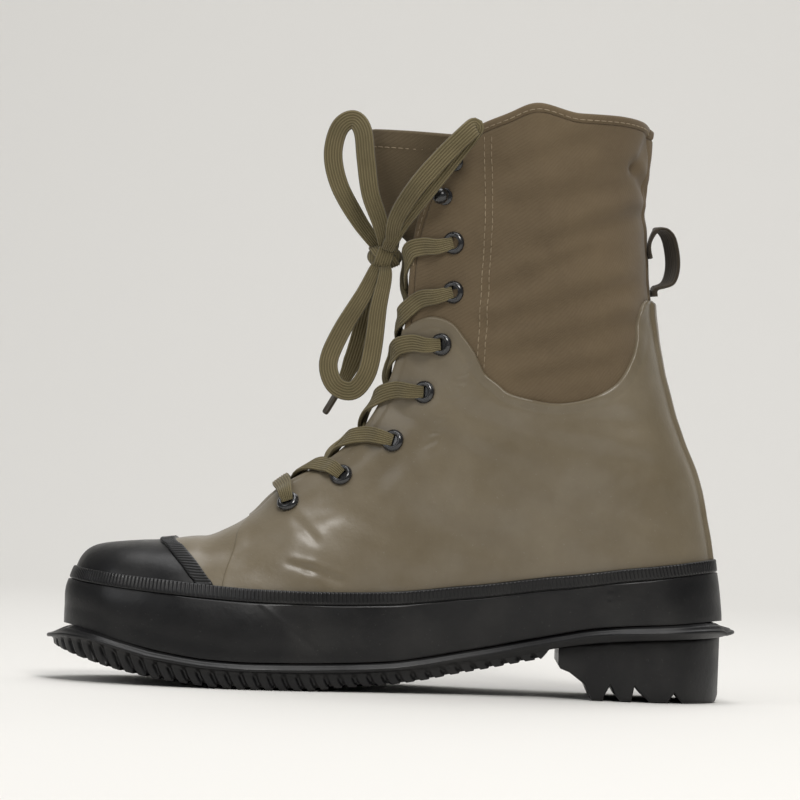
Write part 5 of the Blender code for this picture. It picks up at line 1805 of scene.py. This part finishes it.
# Hooks
# Two black studs a side above the eyelets, each a faceted ball on a neck and a small round foot.
HOOK_BALL = 0.0038
HOOK_NECK = 0.0018
STUD = [
    (0.0, -0.0004),
    (HOOK_BALL * 1.02, -0.0004),
    (HOOK_BALL * 1.05, 0.0002),
    (HOOK_BALL * 0.98, 0.0006),
    (HOOK_NECK * 1.3, HOOK_BALL * 0.26),
    (HOOK_NECK, HOOK_BALL * 0.38),
    (HOOK_NECK, HOOK_BALL * 0.62),
    (HOOK_BALL * 0.72, HOOK_BALL * 0.76),
    (HOOK_BALL * 0.96, HOOK_BALL * 1.02),
    (HOOK_BALL, HOOK_BALL * 1.22),
    (HOOK_BALL * 0.94, HOOK_BALL * 1.50),
    (HOOK_BALL * 0.74, HOOK_BALL * 1.84),
    (HOOK_BALL * 0.42, HOOK_BALL * 2.04),
    (0.0, HOOK_BALL * 2.08),
]
for side, word in ((-1, "inner"), (1, "outer")):
    for number, fitting in enumerate(HOOKS, 1):
        point, normal = face_at(side, fitting.rib, fitting.up, CANVAS_SEAT)
        stud = seated(spun(STUD, 12), point, normal)
        edges = [e for e in stud.edges if e.calc_face_angle(0.0) > 0.3]
        bmesh.ops.bevel(
            stud,
            geom=edges,
            offset=0.00016,
            offset_type="OFFSET",
            affect="EDGES",
            segments=2,
            profile=0.5,
            material=-1,
            clamp_overlap=True,
        )
        name = f"stud_{word}_{number}"
        finished(name, stud, LACQUER, [f"hook_{word}_{number}"], sharp=16)

# Pull loop
# A short dark webbing loop sewn over the back seam below the collar, for pulling the boot on.
PULL_WIDTH = 0.014
PULL_THICK = 0.0016
PULL_REACH = 0.0098
PULL_SKEW = 0.40
Pull = namedtuple("Pull", "rise reach")
PULL_TURNS = [
    Pull(0.668, 0.00),
    Pull(0.700, 0.00),
    Pull(0.734, 0.35),
    Pull(0.715, 0.85),
    Pull(0.655, 1.00),
    Pull(0.612, 0.75),
    Pull(0.600, 0.10),
    Pull(0.583, 0.00),
]


def braid_look(name, dark, light, pitch, relief, roughness):
    """Flat woven or braided band on its own map: crossing threads and lengthwise lines, with painted shade
    that darkens the grooves and lightens the ridges.
    """
    look, tree, shader, place = new_look(name)
    flat = put(tree, "ShaderNodeUVMap", uv_map="surface").outputs["UV"]
    axes = put(tree, "ShaderNodeSeparateXYZ", {"Vector": flat}).outputs
    turns = 2 * math.pi / pitch
    valleys = maths(tree, "COSINE", maths(tree, "MULTIPLY", axes["X"], turns))
    lines = maths(tree, "MULTIPLY", valleys, -1.0)
    folded = maths(tree, "PINGPONG", axes["X"], pitch)
    slant = maths(tree, "ADD", maths(tree, "MULTIPLY", folded, 1.5), axes["Y"])
    strands = maths(tree, "SINE", maths(tree, "MULTIPLY", slant, turns * 1.3))
    both = maths(tree, "ADD", maths(tree, "MULTIPLY", strands, 0.35), maths(tree, "MULTIPLY", lines, 0.65))
    height = maths(tree, "ADD", maths(tree, "MULTIPLY", both, 0.5), 0.5)
    soil = noise(tree, place, 70.0, 4.0)
    fuzz = noise(tree, place, 2200.0, 2.0)
    # Colour follows the height: painted shade, dark in the grooves and light on the ridges.
    tint = blended(tree, height, dark, light)
    tint = blended(tree, ramp(tree, soil, [(0.35, 0.0), (0.75, 0.55)]), tint, dark)
    total = maths(tree, "ADD", height, maths(tree, "MULTIPLY", fuzz, 0.3))
    feeds = {
        "Base Color": blended(tree, maths(tree, "MULTIPLY", fuzz, 0.25), tint, light),
        "Roughness": roughness,
        "Sheen Weight": 0.15,
        "Specular IOR Level": 0.25,
        "Normal": bumped(tree, total, 0.8, relief),
    }
    feed(tree, shader, feeds)
    return look


def band_mesh(path, faces, widths, thick, ridges, relief):
    """Flat band with rounded edges and ridges that run along it, mapped across and along."""
    path, faces = np.array(path), np.array(faces)
    widths = np.broadcast_to(widths, len(path))
    way = np.gradient(path, axis=0)
    way /= np.maximum(long(way), 1e-12)
    across = np.cross(way, faces)
    across /= np.maximum(long(across), 1e-12)
    out = np.cross(across, way)
    run = run_along(path)
    steps_over = 5 * ridges
    section = []
    for level in (1, -1):
        for k in range(steps_over + 1):
            share = -1 + 2 * k / steps_over
            bulge = (1 - abs(share) ** 6) ** 0.5
            ridge = relief * math.cos(share * ridges * math.pi)
            section.append((share * level, level * (0.5 * thick * bulge + ridge * (bulge > 0.5))))
    bm = bmesh.new()
    uv = bm.loops.layers.uv.new("surface")
    rings = []
    for i in range(len(path)):
        ring = []
        for share, height in section:
            ring.append(bm.verts.new(path[i] + across[i] * share * widths[i] / 2 + out[i] * height))
        rings.append(ring)
    count = len(section)
    for i, (a, b) in enumerate(zip(rings, rings[1:])):
        for k in range(count):
            n = (k + 1) % count
            face = bm.faces.new((a[k], a[n], b[n], b[k]))
            for corner, over, along in zip(face.loops, (k, n, n, k), (i, i, i + 1, i + 1)):
                corner[uv].uv = ((section[over][0] + 1) * LACE_WIDTH / 2, run[along])
    bm.faces.new(rings[0][::-1])
    bm.faces.new(rings[-1])
    bmesh.ops.remove_doubles(bm, verts=bm.verts, dist=0.000004)
    bmesh.ops.recalc_face_normals(bm, faces=bm.faces)
    return bm


LACE_WIDTH = 0.0085
LACE_THICK = 0.0015
WEBBING = braid_look(
    "dark_webbing",
    (0.030, 0.023, 0.016),
    (0.085, 0.068, 0.046),
    pitch=0.0013,
    relief=0.00014,
    roughness=0.85,
)


def back_point(rise, reach):
    one = np.array([-1.0])
    last = np.array([float(STATIONS)])

    def above(v):
        return rib_points(one, last, v)[..., 2] > height_of(1.0, rise)

    v = halved(np.zeros(1), np.ones(1), above)
    return upper_points(one, last, v, np.array([2 * GAP + PULL_THICK / 2 + reach * PULL_REACH]))[0]


pull_path = through([back_point(turn.rise, turn.reach) for turn in PULL_TURNS], 10)
pull_ways = np.gradient(pull_path, axis=0)
pull_faces = np.cross(np.array([0.0, 1.0, 0.0]), pull_ways)
pull_faces /= np.maximum(long(pull_faces), 1e-12)
pull = band_mesh(pull_path, pull_faces, PULL_WIDTH, PULL_THICK, 9, 0.00006)
pull_back = min(point[0] for point in pull_path)
for vert in pull.verts:
    free = min(max((vert.co.x - pull_back - 0.0012) / 0.0035, 0.0), 1.0)
    vert.co.x -= vert.co.y * PULL_SKEW * free
finished("pull_webbing", pull, WEBBING, ["pull_loop"])

# Laces over the throat
# One flat khaki braid. Each strand leaves its eyelet, drops over the flap's edge, crosses the
# tongue and slips under the other flap one eyelet further down; a bar joins the lowest pair.
LACE_HUMP = 0.0026
LACE_NARROW = 0.0056
LACE_LIFT = 0.0009
LACE_RIDGES = 7
LACE_RELIEF = 0.00016
LACE_BRAID = braid_look(
    "khaki_braid",
    (0.066, 0.052, 0.023),
    (0.225, 0.185, 0.098),
    pitch=0.001214,
    relief=0.00016,
    roughness=0.86,
)


def strand_points(side, number, under_to, lift):
    """Places and facings of a strand, from inside its eyelet to under the other flap."""
    fitting = EYELETS[number - 1]
    level = level_of(number)
    over = level + EYELET_HEIGHT + LACE_THICK / 2 + 0.0002
    coat_level = COAT_HIGH if number <= RUBBER_EYELETS else 0.0
    edge_rib, rib, up = fitting.edge, fitting.rib, fitting.up
    rows = [face_at(side, rib, up, level - 0.0002)]
    first = face_at(side, rib + (edge_rib - rib) * 0.30, up + (1 - up) * 0.24, over)
    on_coat = coat_level + LACE_THICK / 2
    second = face_at(side, rib + (edge_rib - rib) * 0.62, up + (1 - up) * 0.62, on_coat + 0.0007)
    edge = face_at(side, edge_rib, 0.999, on_coat + 0.0009)
    rows += [first, second, edge]
    if under_to is None:
        return rows
    target = EYELETS[under_to - 1]
    end, end_face = face_at(-side, target.edge, 0.999, -WALL - LACE_THICK / 2 - 0.0005)
    way = level_way(edge[1] + end_face)
    middle = (edge[0] + end) / 2 + way * (LACE_HUMP + lift)
    quarter = edge[0] * 0.72 + end * 0.28 + way * (LACE_HUMP * 0.8 + lift * 0.6)
    later = edge[0] * 0.26 + end * 0.74 + way * (LACE_HUMP * 0.55 + lift * 0.5)
    tuck, tuck_face = face_at(
        -side, target.edge * 0.6 + target.rib * 0.4, 0.6 + 0.4 * target.up, -WALL - LACE_THICK / 2 - 0.0008
    )
    return rows + [(quarter, way), (middle, way), (later, way), (end, end_face), (tuck, tuck_face)]


def lace(path, faces, widths):
    """Braid along a path, with its widths spread evenly from end to end."""
    at = np.linspace(0, len(widths) - 1, len(path))
    width = np.interp(at, range(len(widths)), widths)
    return band_mesh(path, faces, width, LACE_THICK, LACE_RIDGES, LACE_RELIEF)


def strand_mesh(rows, widths):
    faces = through([row[1] for row in rows], 7)
    return lace(through([row[0] for row in rows], 7), faces / np.maximum(long(faces), 1e-12), widths)


left = strand_points(-1, 1, None, 0.0)
right = strand_points(1, 1, None, 0.0)
bar_way = level_way(left[-1][1] + right[-1][1])
bar_top = ((left[-1][0] + right[-1][0]) / 2 + bar_way * 0.0012, bar_way)
bar_rows = left + [bar_top] + right[::-1]
bar_widths = [LACE_NARROW, 0.0068, 0.0080, LACE_WIDTH, LACE_WIDTH, LACE_WIDTH, 0.0080, 0.0068, LACE_NARROW]
finished("lace_row_1", strand_mesh(bar_rows, bar_widths), LACE_BRAID, ["lace_crossing_1"], sharp=75)
strand_widths = [LACE_NARROW, 0.0070, 0.0082] + [LACE_WIDTH] * 6
for number in range(2, 8):
    for side in (-1, 1):
        lift = LACE_LIFT * (1 if (number % 2 == 0) == (side < 0) else -1)
        rows = strand_points(side, number, number - 1, lift)
        strand = strand_mesh(rows, strand_widths)
        name = f"lace_row_{number}_{'inner' if side < 0 else 'outer'}"
        finished(name, strand, LACE_BRAID, [f"lace_crossing_{number}"], sharp=75)

# Knot, loops and end
# The same braid tied over the topmost crossing: a wrapped knot, one loop that stands up, one folded
# back over the flap, one that hangs, and a loose end with its plain smooth tip.
KNOT_AT = (-0.0094, 0.0, 0.1955)
KNOT_SIZE = (0.0095, 0.0075, 0.0065)
KNOT_CORE = 0.84
LOOP_UP = [
    (-0.0050, -0.0018, 0.0064),
    (-0.0125, -0.0030, 0.0160),
    (-0.0215, -0.0050, 0.0310),
    (-0.0250, -0.0070, 0.0450),
    (-0.0225, -0.0085, 0.0570),
    (-0.0165, -0.0100, 0.0610),
    (-0.0120, -0.0120, 0.0560),
    (-0.0100, -0.0140, 0.0430),
    (-0.0075, -0.0140, 0.0280),
    (-0.0030, -0.0110, 0.0160),
    (-0.0005, -0.0066, 0.0072),
]
LOOP_BACK = [
    (0.0030, -0.0078, 0.0040),
    (0.0045, -0.0220, 0.0160),
    (0.0125, -0.0345, 0.0300),
    (0.0240, -0.0410, 0.0440),
    (0.0350, -0.0430, 0.0555),
    (0.0380, -0.0408, 0.0580),
    (0.0360, -0.0386, 0.0545),
    (0.0270, -0.0368, 0.0420),
    (0.0175, -0.0320, 0.0290),
    (0.0075, -0.0195, 0.0155),
    (0.0020, -0.0100, 0.0050),
]
LOOP_DOWN = [
    (-0.0036, -0.0044, -0.0058),
    (-0.0090, -0.0070, -0.0180),
    (-0.0185, -0.0080, -0.0350),
    (-0.0235, -0.0090, -0.0490),
    (-0.0200, -0.0100, -0.0590),
    (-0.0120, -0.0105, -0.0610),
    (-0.0060, -0.0105, -0.0530),
    (-0.0035, -0.0105, -0.0400),
    (-0.0020, -0.0100, -0.0240),
    (0.0005, -0.0090, -0.0095),
]
LOOSE_END = [
    (-0.0026, 0.0038, -0.0060),
    (-0.0060, 0.0080, -0.0180),
    (-0.0090, 0.0100, -0.0330),
    (-0.0130, 0.0115, -0.0480),
    (-0.0185, 0.0125, -0.0610),
]
AGLET = [
    (-0.0187, 0.0125, -0.0614),
    (-0.0247, 0.0135, -0.0720),
]
AGLET_RADIUS = 0.0016
KNOT_BITE = 0.35
LOOP_WIDTHS = [0.0050, 0.0064, 0.0080] + [LACE_WIDTH] * 5 + [0.0080, 0.0066, 0.0050]
END_WIDTHS = [0.0060, 0.0076, LACE_WIDTH, LACE_WIDTH, LACE_WIDTH, 0.0040]
Wrap = namedtuple("Wrap", "tilt reach spread start stop")
WRAPS = [
    Wrap(0.35, 0.92, 0.96, -2.5, 2.9),
    Wrap(-0.75, 0.98, 0.86, -1.2, 1.9),
]


def knotted(points, both_ends):
    """Curve of a loop or end that starts, and for a loop stops too, inside the knot."""
    offsets = [np.array(points[0]) * KNOT_BITE] + [np.array(p) for p in points]
    if both_ends:
        offsets.append(np.array(points[-1]) * KNOT_BITE)
    return through([np.array(KNOT_AT) + offset for offset in offsets], 8)


def loose_band(points, widths, both_ends=True):
    path = knotted(points, both_ends)
    way = np.gradient(path, axis=0)
    way /= np.maximum(long(way), 1e-12)
    front = np.array([0.0, -1.0, 0.0])
    faces = front - way * (way @ front)[:, None]
    faces /= np.maximum(long(faces), 1e-12)
    return lace(path, faces, widths), path, float(run_along(path)[-1])


knot = bmesh.new()
bmesh.ops.create_uvsphere(knot, u_segments=40, v_segments=24, radius=1.0)
knot_uv = knot.loops.layers.uv.new("surface")
for face in knot.faces:
    for corner in face.loops:
        place = corner.vert.co
        corner[knot_uv].uv = (place.x * 0.008 + 0.01, place.z * 0.008 + 0.01)
bmesh.ops.scale(knot, vec=[KNOT_CORE * s for s in KNOT_SIZE], verts=knot.verts)
bmesh.ops.translate(knot, vec=KNOT_AT, verts=knot.verts)
size = np.array(KNOT_SIZE)
for wrap in WRAPS:
    turns = np.linspace(wrap.start, wrap.stop, 44)
    shares = (
        np.sin(turns) * np.sin(wrap.tilt) * wrap.reach * 0.6,
        -np.cos(turns) * wrap.spread,
        np.sin(turns) * np.cos(wrap.tilt) * wrap.reach,
    )
    ring = np.stack(shares, axis=-1) * size
    outward = ring / size**2
    outward /= np.maximum(long(outward), 1e-12)
    joined(knot, lace(ring + np.array(KNOT_AT), outward, [LACE_WIDTH * 0.92] * 2))
finished("knot_wrapped", knot, LACE_BRAID, ["lace_knot"], sharp=75)

LOOPS = {"lace_loop_up": LOOP_UP, "lace_loop_back": LOOP_BACK, "lace_loop_down": LOOP_DOWN}
for name, points in LOOPS.items():
    mesh, path, length = loose_band(points, LOOP_WIDTHS)
    loop = finished(f"{name}_braid", mesh, LACE_BRAID, [name], sharp=75)

mesh, end_path, end_length = loose_band(LOOSE_END, END_WIDTHS, False)
end = finished("lace_end_braid", mesh, LACE_BRAID, ["lace_end"], sharp=75)

TIP_LOOK = bpy.data.materials.new("smooth_tip")
TIP_LOOK.use_nodes = True
tip_shader = TIP_LOOK.node_tree.nodes["Principled BSDF"]
tip_shader.inputs["Base Color"].default_value = (0.052, 0.040, 0.026, 1.0)
tip_shader.inputs["Roughness"].default_value = 0.28
tip_shader.inputs["Coat Weight"].default_value = 0.4
tip_start, tip_stop = (Vector(KNOT_AT) + Vector(p) for p in AGLET)
tip_long = (tip_stop - tip_start).length
TIP = [
    (0.0, -tip_long / 2),
    (AGLET_RADIUS * 0.92, -tip_long / 2),
    (AGLET_RADIUS, -tip_long / 2 + 0.0003),
    (AGLET_RADIUS, tip_long / 2 - 0.0014),
    (AGLET_RADIUS * 0.90, tip_long / 2 - 0.0005),
    (AGLET_RADIUS * 0.60, tip_long / 2),
    (0.0, tip_long / 2),
]
tip = seated(spun(TIP, 24), (tip_start + tip_stop) / 2, tip_stop - tip_start)
tip_piece = finished("lace_tip", tip, TIP_LOOK, ["lace_aglet"])
